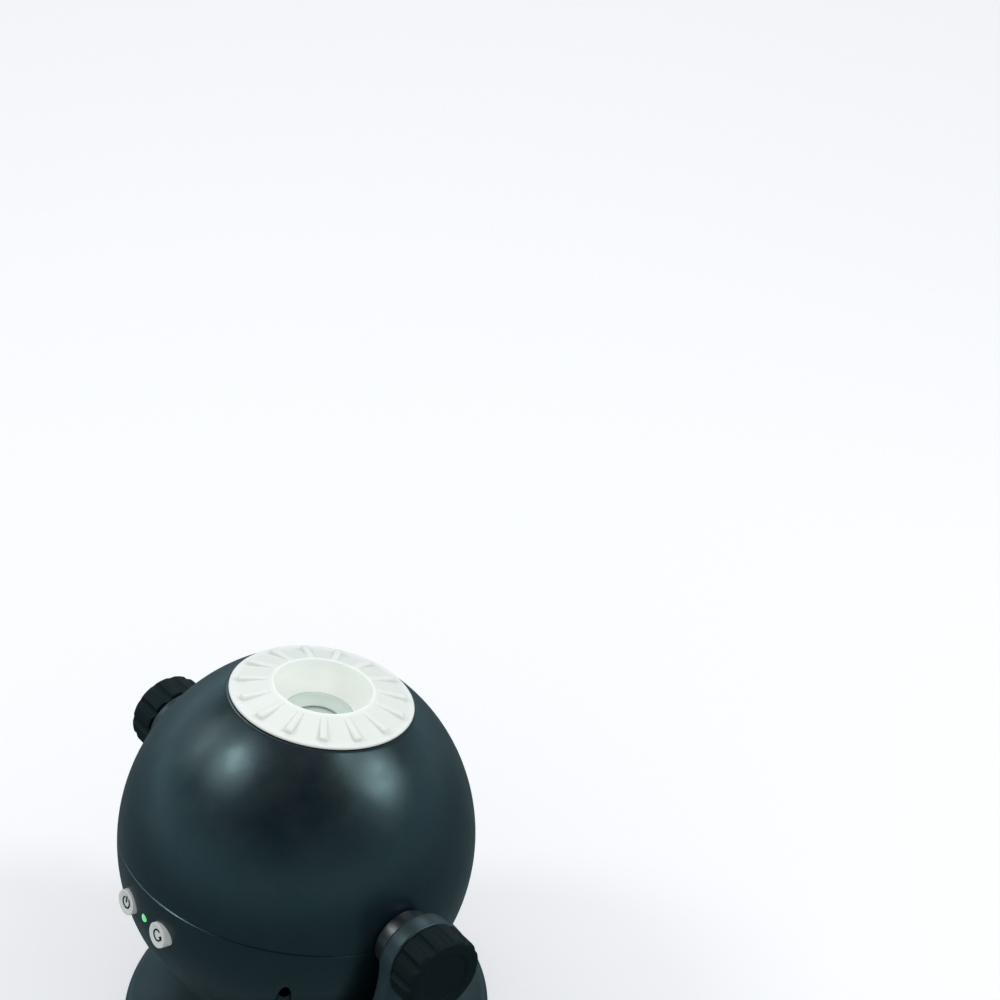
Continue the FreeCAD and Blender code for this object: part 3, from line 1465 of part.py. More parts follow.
def arm(name):
    """A curved band from the middle of the base up to the ear at the tilt axis."""
    body = new_body(name)
    ear_top = pivot_height + dim.ear_radius
    foot_drop = pivot_height - dim.base_height
    foot_end = across(arm_outer_radius, foot_drop)
    band = draw_outline(attach(body, "XZ"), [
        (0, dim.base_height),
        (foot_end, dim.base_height),
        (arm_outer_radius, pivot_height, arm_outer_radius),
        (arm_outer_radius, ear_top),
        (arm_inner_radius, ear_top),
        (arm_inner_radius, pivot_height),
        (0, pivot_height - arm_inner_radius, -arm_inner_radius),
    ])
    extrude(body, band, 2 * dim.arm_foot_width, both_ways=True)
    side = new_body(f"{name}_side")
    face = attach(side, "YZ")
    foot = dim.arm_foot_width / 2
    draw_outline(face, [
        (-foot, dim.base_height),
        (foot, dim.base_height),
        (dim.ear_radius, pivot_height),
        (0, ear_top, dim.ear_radius),
        (-dim.ear_radius, pivot_height, dim.ear_radius),
    ])
    extrude(side, face, arm_outer_radius + dim.ear_radius)
    ear = rod(f"{name}_ear", dim.ear_radius, dim.arm_thickness,
              (arm_inner_radius, 0, pivot_height), "x")
    trimmed = fuse(f"{name}_whole", [common(f"{name}_band", body, side), ear])
    spot_face = rod(f"{name}_spot_face", dim.washer_radius + dim.running_gap,
                    arm_inner_radius, (0, 0, pivot_height), "x")
    hole = rod(f"{name}_ear_hole", dim.hub_neck_radius + dim.bush_wall + dim.bore_gap,
               dim.arm_thickness, (arm_inner_radius, 0, pivot_height), "x")
    pilots = upright_holes(f"{name}_pilot", [spot for spot in arm_screw_spots
                                             if spot[0].value > 0],
                           dim.arm_screw_bite, dim.base_height, pilot_radius)
    return cut(f"{name}_cut", trimmed, [hole, spot_face] + pilots)


# ----------------------------------------------------------------------------------------------
# Build, check and write
# ----------------------------------------------------------------------------------------------
def check_document():
    """Stop if any object of the document failed or any sub-part is not a sound solid."""
    for item in doc.Objects:
        if "Invalid" in item.State or "Error" in item.State:
            raise RuntimeError(f"{item.Name} ({item.Label}) failed: {item.State}")
    for node in nodes:
        if node.Shape.isNull() or not node.Shape.isValid() or not node.Shape.Solids:
            raise RuntimeError(f"{node.Label} is not a sound solid")


def write_parts():
    os.makedirs("parts", exist_ok=True)
    for node in nodes:
        node.Shape.exportStep(f"parts/{node.Label}.step")


for build in (
    build_upper_shell, build_lower_shell, build_shell_screws,
    build_hubs, build_washers, build_bushes, build_knobs,
    build_focus_ring, build_ring_clip, build_barrel, build_lens_guide,
    build_chassis, build_rails, build_tray, build_disc, build_gear_train,
    build_lamp, build_controls, build_battery_box, build_base, build_arms,
):
    build()
doc.recompute()
check_document()
write_parts()
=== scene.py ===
"""The looks of a tilting home planetarium projector.

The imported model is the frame: its nodes give every place and size. The outside of the projector
is modelled again here with the soft edges, grips and seams that moulded parts have, and the
pieces inside keep their own shape and get a finish. Everything is in metres.

The head is drawn upright about its own centre, with its axis along local Z, and HEAD puts it on
the tilt axis and leans it back. A height is the local Z of the head, a reach its distance from
the head's axis.
"""
import json
import logging
import math
from collections.abc import Iterable, Sequence
from dataclasses import dataclass, field
from enum import Enum

import bmesh
import bpy
from mathutils import Matrix, Vector


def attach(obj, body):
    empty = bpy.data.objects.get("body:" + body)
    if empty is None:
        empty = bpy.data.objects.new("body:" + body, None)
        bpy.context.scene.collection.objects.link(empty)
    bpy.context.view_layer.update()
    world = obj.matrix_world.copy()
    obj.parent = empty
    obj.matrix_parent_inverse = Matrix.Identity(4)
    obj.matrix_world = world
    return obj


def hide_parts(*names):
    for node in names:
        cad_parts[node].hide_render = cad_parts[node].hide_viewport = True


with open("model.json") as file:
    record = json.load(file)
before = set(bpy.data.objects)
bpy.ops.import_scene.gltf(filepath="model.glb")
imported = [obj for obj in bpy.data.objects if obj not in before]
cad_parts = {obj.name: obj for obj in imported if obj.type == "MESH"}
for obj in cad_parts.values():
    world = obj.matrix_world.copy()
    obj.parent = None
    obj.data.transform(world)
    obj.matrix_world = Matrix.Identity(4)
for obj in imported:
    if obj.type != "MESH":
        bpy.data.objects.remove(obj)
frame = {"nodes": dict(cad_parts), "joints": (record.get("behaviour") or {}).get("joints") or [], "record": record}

log = logging.getLogger("planetarium_projector")

Point = tuple[float, float]
Span = tuple[float, float]
Colour = tuple[float, float, float]
Shape = bmesh.types.BMesh
Piece = bpy.types.Object
Socket = bpy.types.NodeSocket

TOUCHING = 1e-7  # metres: points nearer than this are one point
NOISE_SPAN = (0.3, 0.7)  # where most values of a noise texture lie
UNIT_SPAN = (0.0, 1.0)
BLACK = (0.0, 0.0, 0.0, 1.0)
WHITE = (255, 255, 255)

# --------------------------------------
# The frame: where the head stands
# --------------------------------------
JOINTS = {joint["name"]: joint for joint in frame["joints"]}
PIVOT = Vector(JOINTS["head_tilt"]["pos_m"])
HEAD_AXIS = Vector(JOINTS["focus_ring_turn"]["axis"])
HEAD = Matrix.Translation(PIVOT) @ Matrix.Rotation(-math.atan2(HEAD_AXIS.y, HEAD_AXIS.z), 4, "X")
STAND = Matrix.Identity(4)
SLOT_OF = {row["node"]: row["material_slot"] for row in frame["record"]["subparts"]}


@dataclass(frozen=True)
class Extent:
    """How far a node reaches in a frame of its own."""

    low: Vector
    top: Vector
    reach: float

    @classmethod
    def of(cls, node: str, place: Matrix = STAND) -> "Extent":
        """Measures a node in a frame of its own.

        Args:
            node: the node's name.
            place: where that frame stands in the model.

        Returns:
            The node's lowest and highest corners, and its reach from the frame's Z.
        """
        back = place.inverted()
        spots = [back @ vertex.co for vertex in frame["nodes"][node].data.vertices]
        low = Vector([min(spot[i] for spot in spots) for i in range(3)])
        top = Vector([max(spot[i] for spot in spots) for i in range(3)])
        return cls(low, top, max(math.hypot(spot.x, spot.y) for spot in spots))


class Side(Enum):
    """The two ends of the tilt axis."""

    LEFT = -1
    RIGHT = 1

    @property
    def word(self) -> str:
        """The side's name in lower case."""
        return self.name.lower()

    @property
    def along_axis(self) -> Matrix:
        """Turns a piece drawn along Z so that it points outwards on this side."""
        return Matrix.Rotation(self.value * math.pi / 2, 4, "Y")


# --------------------------------------
# Outlines and meshes
# --------------------------------------
def soften(corners: Sequence[tuple[float, ...]], steps: int = 5, closed: bool = True) -> list[Point]:
    """Rounds the corners of an outline.

    Args:
        corners: points (x, y) or (x, y, rounding), in order.
        steps: how many runs a rounded corner gets.
        closed: whether the last corner joins the first.

    Returns:
        The points of the rounded outline.
    """
    points: list[Point] = []
    count = len(corners)
    most = 0.49  # of an edge, so that two rounded corners never meet
    for index, corner in enumerate(corners):
        here = Vector(corner[:2])
        at_end = not closed and index in (0, count - 1)
        if len(corner) == 2 or at_end:
            points.append((here.x, here.y))
            continue
        before = Vector(corners[index - 1][:2]) - here
        after = Vector(corners[(index + 1) % count][:2]) - here
        reach = min(corner[2], before.length * most, after.length * most)
        start = here + before.normalized() * reach
        end = here + after.normalized() * reach
        for step in range(steps + 1):
            share = step / steps
            spot = start.lerp(here, share).lerp(here.lerp(end, share), share)
            points.append((spot.x, spot.y))
    return points


def arc(centre: Point, radius: float, start: float, stop: float, steps: int) -> list[Point]:
    """Points on an arc, with its angles in degrees."""
    turns = [math.radians(start + (stop - start) * step / steps) for step in range(steps + 1)]
    return [(centre[0] + radius * math.cos(t), centre[1] + radius * math.sin(t)) for t in turns]


def bow(start: Point, end: Point, radius: float, steps: int) -> list[Point]:
    """An arc of a given radius from one point to another.

    Args:
        start: the first point.
        end: the last point.
        radius: the arc's radius; it turns left, or right where the radius is negative.
        steps: how many runs the arc gets.

    Returns:
        The points of the arc, with both ends.
    """
    chord = Vector(end) - Vector(start)
    left = Vector((-chord.y, chord.x)).normalized()
    depth = math.copysign(math.sqrt(radius**2 - (chord.length / 2) ** 2), radius)
    centre = (Vector(start) + Vector(end)) / 2 + left * depth
    angles = [math.degrees(math.atan2(spot[1] - centre.y, spot[0] - centre.x)) for spot in (start, end)]
    if radius > 0 > angles[1] - angles[0]:
        angles[1] += 360
    if radius < 0 < angles[1] - angles[0]:
        angles[1] -= 360
    return arc((centre.x, centre.y), abs(radius), angles[0], angles[1], steps)


def moved(shape: Shape, place: Matrix) -> Shape:
    """Moves a shape to its place."""
    bmesh.ops.transform(shape, matrix=place, verts=shape.verts)
    return shape


def new_piece(name: str, shape: Shape, place: Matrix = STAND) -> Piece:
    """Makes an object from a closed shape, with its place in its mesh and its faces outwards.

    Args:
        name: the object's name.
        shape: the shape, which is used up.
        place: where the shape goes.

    Returns:
        The new object.
    """
    bmesh.ops.remove_doubles(shape, verts=shape.verts, dist=TOUCHING)
    moved(shape, place)
    bmesh.ops.recalc_face_normals(shape, faces=shape.faces)
    mesh = bpy.data.meshes.new(name)
    shape.to_mesh(mesh)
    shape.free()
    piece = bpy.data.objects.new(name, mesh)
    bpy.context.scene.collection.objects.link(piece)
    return piece


def lathe(outline: Sequence[Point], segments: int, closed: bool = True) -> Shape:
    """Turns an outline of (reach, height) round Z.

    Args:
        outline: the profile; a point on the axis becomes a pole.
        segments: how many steps go round.
        closed: whether the last point joins the first.

    Returns:
        The turned shape.
    """
    shape = bmesh.new()
    rings: list[list[bmesh.types.BMVert]] = []
    for reach, height in outline:
        if reach < TOUCHING:
            rings.append([shape.verts.new((0, 0, height))] * segments)
            continue
        turns = [2 * math.pi * step / segments for step in range(segments)]
        rings.append([shape.verts.new((reach * math.cos(t), reach * math.sin(t), height)) for t in turns])
    pairs = list(zip(rings, rings[1:])) + ([(rings[-1], rings[0])] if closed else [])
    for lower, upper in pairs:
        for step in range(segments):
            follower = (step + 1) % segments
            corners = [lower[step], lower[follower], upper[follower], upper[step]]
            unique = list(dict.fromkeys(corners))
            if len(unique) > 2:
                shape.faces.new(unique)
    return shape


def prism(outline: Sequence[Point], depth: float, place: Matrix = STAND) -> Shape:
    """A straight block that goes up from an outline.

    Args:
        outline: its corners in X and Y, in order.
        depth: the block's height.
        place: where the block goes.

    Returns:
        The block.
    """
    shape = bmesh.new()
    floor = [shape.verts.new((x, y, 0)) for x, y in outline]
    ceiling = [shape.verts.new((x, y, depth)) for x, y in outline]
    shape.faces.new(floor)
    shape.faces.new(ceiling)
    for index in range(len(outline)):
        follower = (index + 1) % len(outline)
        shape.faces.new((floor[index], floor[follower], ceiling[follower], ceiling[index]))
    return moved(shape, place)


def box(size: Vector, middle: Vector) -> Shape:
    """A block with square corners.

    Args:
        size: its lengths along X, Y and Z.
        middle: where its centre is.

    Returns:
        The block.
    """
    shape = bmesh.new()
    bmesh.ops.create_cube(shape, size=1.0)
    return moved(shape, Matrix.Translation(middle) @ Matrix.Diagonal(size.to_4d()))


def rod(radius: float, low: float, top: float, spot: Point = (0.0, 0.0), segments: int = 48) -> Shape:
    """An upright round bar.

    Args:
        radius: the bar's radius.
        low: the height of its lower end.
        top: the height of its upper end.
        spot: where its axis stands.
        segments: how many steps go round.

    Returns:
        The bar.
    """
    shape = lathe([(0, low), (radius, low), (radius, top), (0, top)], segments, closed=False)
    bmesh.ops.translate(shape, vec=(*spot, 0), verts=shape.verts)
    return shape


def join(*shapes: Shape) -> Shape:
    """Several shapes as one, side by side.

    Args:
        shapes: the shapes, which are used up.

    Returns:
        The one shape.
    """
    whole = bmesh.new()
    for shape in shapes:
        mesh = bpy.data.meshes.new("part")
        shape.to_mesh(mesh)
        shape.free()
        whole.from_mesh(mesh)
        bpy.data.meshes.remove(mesh)
    return whole


def settle(piece: Piece) -> Piece:
    """Makes the result of a piece's modifiers its own mesh, and removes them.

    Args:
        piece: the object to settle.

    Returns:
        The same piece.
    """
    depsgraph = bpy.context.evaluated_depsgraph_get()
    old = piece.data
    made = bpy.data.meshes.new_from_object(piece.evaluated_get(depsgraph), depsgraph=depsgraph)
    piece.modifiers.clear()
    piece.data = made
    made.name = piece.name
    bpy.data.meshes.remove(old)
    return piece


class Work(Enum):
    """What is done to a piece with a shape."""

    CUT = "DIFFERENCE"
    ADD = "UNION"
    TRIM = "INTERSECT"


def combine(piece: Piece, shape: Shape, work: Work = Work.CUT) -> Piece:
    """Cuts a shape out of a piece, adds it, or keeps what both hold.

    Args:
        piece: the object to change.
        shape: the tool, in the piece's own frame.
        work: what is done with the tool.

    Returns:
        The changed piece.
    """
    tool = new_piece(f"{piece.name}_tool", shape)
    modifier = piece.modifiers.new("combine", "BOOLEAN")
    modifier.operation = work.value
    modifier.solver = "EXACT"
    modifier.object = tool
    settle(piece)
    mesh = tool.data
    bpy.data.objects.remove(tool)
    bpy.data.meshes.remove(mesh)
    return piece


def round_edges(piece: Piece, width: float, segments: int = 3, angle: float = 35.0) -> Piece:
    """Rounds the sharp edges of a piece.

    Args:
        piece: the object to round.
        width: how far the rounding goes in from the edge.
        segments: how many runs the rounding gets.
        angle: edges sharper than this, in degrees, are rounded.

    Returns:
        The same piece.
    """
    modifier = piece.modifiers.new("rounding", "BEVEL")
    modifier.width = width
    modifier.segments = segments
    modifier.limit_method = "ANGLE"
    modifier.angle_limit = math.radians(angle)
    modifier.use_clamp_overlap = True
    return settle(piece)


def shade(piece: Piece, angle: float = 32.0) -> Piece:
    """Shades a piece smooth.

    Args:
        piece: the object to shade.
        angle: edges sharper than this, in degrees, stay sharp.

    Returns:
        The same piece.
    """
    piece.data.shade_smooth()
    piece.data.set_sharp_from_angle(angle=math.radians(angle))
    return piece


def put(piece: Piece, place: Matrix) -> Piece:
    """Moves a piece's mesh to its place.

    Args:
        piece: the object, which itself stays at the origin.
        place: where the mesh goes.

    Returns:
        The same piece.
    """
    piece.data.transform(place)
    piece.data.update()
    return piece


# --------------------------------------
# Node trees
# --------------------------------------
class Graph:
    """A node tree that is drawn one node at a time."""

    column_width = 180

    def __init__(self, tree: bpy.types.NodeTree) -> None:
        """Keeps the tree and where the next node goes."""
        self.tree = tree
        self.column = 0

    def node(self, kind: str, inputs: dict | None = None, **settings: object) -> bpy.types.Node:
        """Adds a node.

        Args:
            kind: the node's type.
            inputs: a value or another node's socket for each input, by name or number.
            settings: the node's own properties.

        Returns:
            The new node.
        """
        made = self.tree.nodes.new(kind)
        made.location = (self.column * self.column_width, 0)
        self.column += 1
        for name, setting in settings.items():
            setattr(made, name, setting)
        for key, value in (inputs or {}).items():
            if isinstance(value, Socket):
                self.tree.links.new(value, made.inputs[key])
            else:
                made.inputs[key].default_value = value
        return made

    def math(self, work: str, *values: object) -> Socket:
        """The result of a Math node."""
        return self.node("ShaderNodeMath", dict(enumerate(values)), operation=work).outputs[0]

    def spread(self, value: object, span: Span, low: float = 0.0, top: float = 1.0) -> Socket:
        """A value carried from a span to the range from low to top, and held within it."""
        ranges = {"Value": value, "From Min": span[0], "From Max": span[1], "To Min": low, "To Max": top}
        return self.node("ShaderNodeMapRange", ranges).outputs["Result"]

    def spot(self) -> Socket:
        """Where the point that is shaded lies, in the axes of its piece."""
        return self.node("ShaderNodeTexCoord").outputs["Object"]

    def noise(self, spot: Socket, scale: object, detail: float, **more: float) -> Socket:
        """A cloudy noise, with the node's further inputs by name."""
        inputs = {"Vector": spot, "Scale": scale, "Detail": detail, **more}
        return self.node("ShaderNodeTexNoise", inputs).outputs[0]

    def tint(self, share: object, first: object, second: object) -> Socket:
        """Two colours mixed by a share of the second."""
        return self.node("ShaderNodeMix", {0: share, 6: first, 7: second}, data_type="RGBA").outputs[2]


class ShapeTree(Graph):
    """A Geometry Nodes tree with named inputs, run on a piece and then made its mesh."""

    def __init__(self, name: str, inputs: dict[str, tuple[str, object]]) -> None:
        """Makes the tree.

        Args:
            name: the tree's name.
            inputs: the socket type and the default value of each named input.
        """
        super().__init__(bpy.data.node_groups.new(name, "GeometryNodeTree"))
        face = self.tree.interface
        face.new_socket("Geometry", in_out="INPUT", socket_type="NodeSocketGeometry")
        self.identifiers: dict[str, str] = {}
        for label, (kind, default) in inputs.items():
            socket = face.new_socket(label, in_out="INPUT", socket_type=kind)
            if default is not None:
                socket.default_value = default
            self.identifiers[label] = socket.identifier
        finish = face.new_socket("Material", in_out="INPUT", socket_type="NodeSocketMaterial")
        self.identifiers["Material"] = finish.identifier
        face.new_socket("Geometry", in_out="OUTPUT", socket_type="NodeSocketGeometry")
        self.given = self.tree.nodes.new("NodeGroupInput").outputs

    def close(self, geometry: Socket) -> None:
        """Ends the tree in Realize Instances and Set Material.

        Args:
            geometry: what the tree puts out.
        """
        real = self.node("GeometryNodeRealizeInstances", {"Geometry": geometry})
        finished = self.node(
            "GeometryNodeSetMaterial", {"Geometry": real.outputs[0], "Material": self.given["Material"]}
        )
        self.node("NodeGroupOutput", {"Geometry": finished.outputs[0]})

    def run(self, piece: Piece, material: bpy.types.Material, **values: object) -> Piece:
        """Applies the tree to a piece.

        Args:
            piece: the object whose mesh goes in.
            material: the finish of what comes out.
            values: the named inputs, with _ for a space.

        Returns:
            The piece, with the tree's result as its mesh.
        """
        modifier = piece.modifiers.new(self.tree.name, "NODES")
        modifier.node_group = self.tree
        modifier[self.identifiers["Material"]] = material
        for label, value in values.items():
            modifier[self.identifiers[label.replace("_", " ")]] = value
        return settle(piece)


def round_repeat_tree() -> ShapeTree:
    """A tree that repeats a shape at even turns about Z.

    Returns:
        The tree.
    """
    tree = ShapeTree("round_repeat", {"Count": ("NodeSocketInt", 6), "First Turn": ("NodeSocketFloat", 0.0)})
    points = tree.node("GeometryNodePoints", {"Count": tree.given["Count"]})
    index = tree.node("GeometryNodeInputIndex").outputs[0]
    step = tree.math("DIVIDE", 2 * math.pi, tree.given["Count"])
    turn = tree.math("MULTIPLY_ADD", index, step, tree.given["First Turn"])
    euler = tree.node("ShaderNodeCombineXYZ", {"Z": turn})
    turned = tree.node("FunctionNodeEulerToRotation", {0: euler.outputs[0]})
    copies = tree.node("GeometryNodeInstanceOnPoints", {
        "Points": points.outputs[0],
        "Instance": tree.given["Geometry"],
        "Rotation": turned.outputs[0],
    })
    tree.close(copies.outputs[0])
    return tree


def row_tree() -> ShapeTree:
    """A tree that repeats a shape in a straight row.

    Returns:
        The tree.
    """
    tree = ShapeTree("row", {"Count": ("NodeSocketInt", 4), "Step": ("NodeSocketVector", (0.0, 0.0, 0.0))})
    index = tree.node("GeometryNodeInputIndex").outputs[0]
    move = tree.node("ShaderNodeVectorMath", {0: tree.given["Step"], "Scale": index}, operation="SCALE")
    points = tree.node("GeometryNodePoints", {"Count": tree.given["Count"], "Position": move.outputs[0]})
    copies = tree.node(
        "GeometryNodeInstanceOnPoints", {"Points": points.outputs[0], "Instance": tree.given["Geometry"]}
    )
    tree.close(copies.outputs[0])
    return tree


def flute_tree() -> ShapeTree:
    """A tree that presses round flutes into the rim of a shape turned about Z.

    A point goes in to the nearest flute's arc: side is its way along the rim from the middle of
    that flute, and depth is how far the arc goes in there.

    Returns:
        The tree.
    """
    tree = ShapeTree("flutes", {
        "Count": ("NodeSocketInt", 12),
        "Flute Radius": ("NodeSocketFloat", 0.003),
        "Flute Reach": ("NodeSocketFloat", 0.019),
    })
    spot = tree.node("GeometryNodeInputPosition").outputs[0]
    parts = tree.node("ShaderNodeSeparateXYZ", {0: spot}).outputs
    squares = [tree.math("POWER", part, 2.0) for part in (parts[0], parts[1])]
    reach = tree.math("SQRT", tree.math("ADD", *squares))
    turn = tree.math("ARCTAN2", parts[1], parts[0])
    turns = tree.math("DIVIDE", tree.math("MULTIPLY", turn, tree.given["Count"]), 2 * math.pi)
    away = tree.math("SUBTRACT", turns, tree.math("ROUND", turns))
    arc_away = tree.math("DIVIDE", tree.math("MULTIPLY", away, 2 * math.pi), tree.given["Count"])
    side = tree.math("MULTIPLY", tree.math("SINE", arc_away), tree.given["Flute Reach"])
    depth = tree.math("SQRT", tree.math("MAXIMUM", 0.0, tree.math(
        "SUBTRACT", tree.math("POWER", tree.given["Flute Radius"], 2.0), tree.math("POWER", side, 2.0)
    )))
    limit = tree.math("SUBTRACT", tree.given["Flute Reach"], depth)
    least = 1e-6
    factor = tree.math("MINIMUM", 1.0, tree.math("DIVIDE", limit, tree.math("MAXIMUM", reach, least)))
    place = tree.node("ShaderNodeCombineXYZ", {
        "X": tree.math("MULTIPLY", parts[0], factor),
        "Y": tree.math("MULTIPLY", parts[1], factor),
        "Z": parts[2],
    })
    pressed = tree.node(
        "GeometryNodeSetPosition", {"Geometry": tree.given["Geometry"], "Position": place.outputs[0]})
    tree.close(pressed.outputs[0])
    return tree


def screw_tree() -> ShapeTree:
    """A tree that puts a cross-recess screw on each point, with its head towards Facing.

    Returns:
        The tree.
    """
    length = "NodeSocketFloat"
    tree = ShapeTree("screws", {
        "Head Radius": (length, 0.0028), "Head Height": (length, 0.002), "Shank Radius": (length, 0.0015),
        "Shank Length": (length, 0.01), "Recess Width": (length, 0.0007), "Seed": ("NodeSocketInt", 7),
        "Facing": ("NodeSocketVector", (0.0, 0.0, 1.0)),
    })
    given = tree.given
    # the dome's and the recess's sizes as shares of the head's height and radius
    dome_height, recess_reach, recess_lift = 1.6, 1.15, 1.25
    ball = tree.node("GeometryNodeMeshUVSphere", {"Segments": 32, "Rings": 24, "Radius": 1.0})
    height = tree.math("MULTIPLY", given["Head Height"], dome_height)
    size = tree.node(
        "ShaderNodeCombineXYZ", {"X": given["Head Radius"], "Y": given["Head Radius"], "Z": height})
    dome = tree.node("GeometryNodeTransform", {"Geometry": ball.outputs[0], "Scale": size.outputs[0]})
    parts = tree.node("ShaderNodeSeparateXYZ", {0: tree.node("GeometryNodeInputPosition").outputs[0]}).outputs
    held = tree.math("MINIMUM", given["Head Height"], tree.math("MAXIMUM", parts[2], 0.0))
    flat = tree.node("ShaderNodeCombineXYZ", {"X": parts[0], "Y": parts[1], "Z": held})
    head = tree.node("GeometryNodeSetPosition", {"Geometry": dome.outputs[0], "Position": flat.outputs[0]})
    arm = tree.math("MULTIPLY", given["Head Radius"], recess_reach)
    bars = []
    for size_x, size_y in ((arm, given["Recess Width"]), (given["Recess Width"], arm)):
        extent = tree.node("ShaderNodeCombineXYZ", {"X": size_x, "Y": size_y, "Z": height})
        bar = tree.node("GeometryNodeMeshCube", {"Size": extent.outputs[0]})
        up = tree.math("MULTIPLY", given["Head Height"], recess_lift)
        lift = tree.node("ShaderNodeCombineXYZ", {"Z": up})
        bars.append(tree.node(
            "GeometryNodeTransform", {"Geometry": bar.outputs[0], "Translation": lift.outputs[0]}
        ).outputs[0])
    recess = tree.node(
        "GeometryNodeMeshBoolean", {"Mesh 1": head.outputs[0]}, operation="DIFFERENCE", solver="EXACT")
    for bar in bars:
        tree.tree.links.new(bar, recess.inputs["Mesh 2"])
    shank = tree.node("GeometryNodeMeshCylinder", {
        "Vertices": 24, "Radius": given["Shank Radius"], "Depth": given["Shank Length"]})
    sunk = tree.node("ShaderNodeCombineXYZ", {"Z": tree.math("MULTIPLY", given["Shank Length"], -0.5)})
    low = tree.node("GeometryNodeTransform", {"Geometry": shank.outputs[0], "Translation": sunk.outputs[0]})
    screw = tree.node("GeometryNodeJoinGeometry")
    for shape in (recess.outputs[0], low.outputs[0]):
        tree.tree.links.new(shape, screw.inputs[0])
    spin = tree.node(
        "FunctionNodeRandomValue", {2: 0.0, 3: math.pi, "Seed": given["Seed"]}, data_type="FLOAT")
    euler = tree.node("ShaderNodeCombineXYZ", {"Z": spin.outputs[1]})
    own = tree.node("FunctionNodeEulerToRotation", {0: euler.outputs[0]})
    facing = tree.node("FunctionNodeAlignRotationToVector", {"Vector": given["Facing"]}, axis="Z")
    turned = tree.node(
        "FunctionNodeRotateRotation", {0: facing.outputs[0], 1: own.outputs[0]}, rotation_space="LOCAL")
    copies = tree.node("GeometryNodeInstanceOnPoints", {
        "Points": given["Geometry"], "Instance": screw.outputs[0], "Rotation": turned.outputs[0]})
    tree.close(copies.outputs[0])
    return tree


# --------------------------------------
# Surface effects that several finishes share
# --------------------------------------
def effect_group(name: str, inputs: dict[str, float], outputs: Iterable[str]) -> tuple[Graph, dict]:
    """An empty shader group with number inputs and outputs.

    Args:
        name: the group's name.
        inputs: the default of each named input.
        outputs: the names of its outputs.

    Returns:
        The group's graph and the sockets of its inputs by name.
    """
    tree = bpy.data.node_groups.new(name, "ShaderNodeTree")
    for label, default in inputs.items():
        socket = tree.interface.new_socket(label, in_out="INPUT", socket_type="NodeSocketFloat")
        socket.default_value = default
    for label in outputs:
        tree.interface.new_socket(label, in_out="OUTPUT", socket_type="NodeSocketFloat")
    graph = Graph(tree)
    return graph, graph.node("NodeGroupInput").outputs


def moulded_grain_group() -> bpy.types.NodeTree:
    """The fine spark-eroded grain of a mould, with faint flow marks and uneven gloss.

    Returns:
        The group's tree.
    """
    graph, given = effect_group(
        "moulded_grain", {"Scale": 900.0, "Flow Scale": 22.0}, ("Height", "Flow", "Gloss"))
    fine_scale, fine_share, patch_scale = 1.7, 0.5, 3.1
    spot = graph.spot()
    pits = graph.node("ShaderNodeTexVoronoi", {"Vector": spot, "Scale": given["Scale"]}, feature="SMOOTH_F1")
    fine = graph.noise(spot, graph.math("MULTIPLY", given["Scale"], fine_scale), 2.0)
    flow = graph.noise(spot, given["Flow Scale"], 3.0, Roughness=0.55, Distortion=0.4)
    patch = graph.noise(spot, graph.math("MULTIPLY", given["Flow Scale"], patch_scale), 4.0)
    height = graph.math("MULTIPLY_ADD", fine, fine_share, pits.outputs["Distance"])
    graph.node("NodeGroupOutput", {"Height": height, "Flow": flow, "Gloss": patch})
    return graph.tree


def edge_wear_group() -> bpy.types.NodeTree:
    """Where an edge is rubbed: convex edges, broken up by a scratchy noise.

    Returns:
        The group's tree.
    """
    graph, given = effect_group("edge_wear", {"Start": 0.53, "Width": 0.05, "Scale": 160.0}, ("Mask",))
    spot = graph.spot()
    edge = graph.node("ShaderNodeNewGeometry").outputs["Pointiness"]
    above = graph.math("DIVIDE", graph.math("SUBTRACT", edge, given["Start"]), given["Width"])
    scratched = (0.42, 0.62)
    broken = graph.spread(graph.noise(spot, given["Scale"], 5.0), scratched)
    held = graph.math("MINIMUM", 1.0, graph.math("MAXIMUM", 0.0, above))
    graph.node("NodeGroupOutput", {"Mask": graph.math("MULTIPLY", held, broken)})
    return graph.tree


def dust_group() -> bpy.types.NodeTree:
    """A thin film of dust on what faces up, in soft patches with fine specks.

    Returns:
        The group's tree.
    """
    graph, given = effect_group("dust", {"Patch Scale": 30.0, "Speck Scale": 700.0}, ("Mask",))
    coordinates = graph.node("ShaderNodeTexCoord").outputs
    up = graph.node("ShaderNodeSeparateXYZ", {0: coordinates["Normal"]}).outputs[2]
    patch = graph.noise(coordinates["Object"], given["Patch Scale"], 5.0, Roughness=0.6)
    speck = graph.node(
        "ShaderNodeTexVoronoi", {"Vector": coordinates["Object"], "Scale": given["Speck Scale"]})
    dot_edge, patch_edge, upward, dot_share = (0.10, 0.16), (0.40, 0.75), (0.1, 0.9), 0.45
    dots = graph.spread(speck.outputs["Distance"], dot_edge, 1.0, 0.0)
    soft = graph.spread(patch, patch_edge)
    film = graph.math("MULTIPLY_ADD", dots, dot_share, graph.math("MULTIPLY", soft, 1.0 - dot_share))
    on_top = graph.math("MULTIPLY", graph.spread(up, upward), film)
    graph.node("NodeGroupOutput", {"Mask": on_top})
    return graph.tree


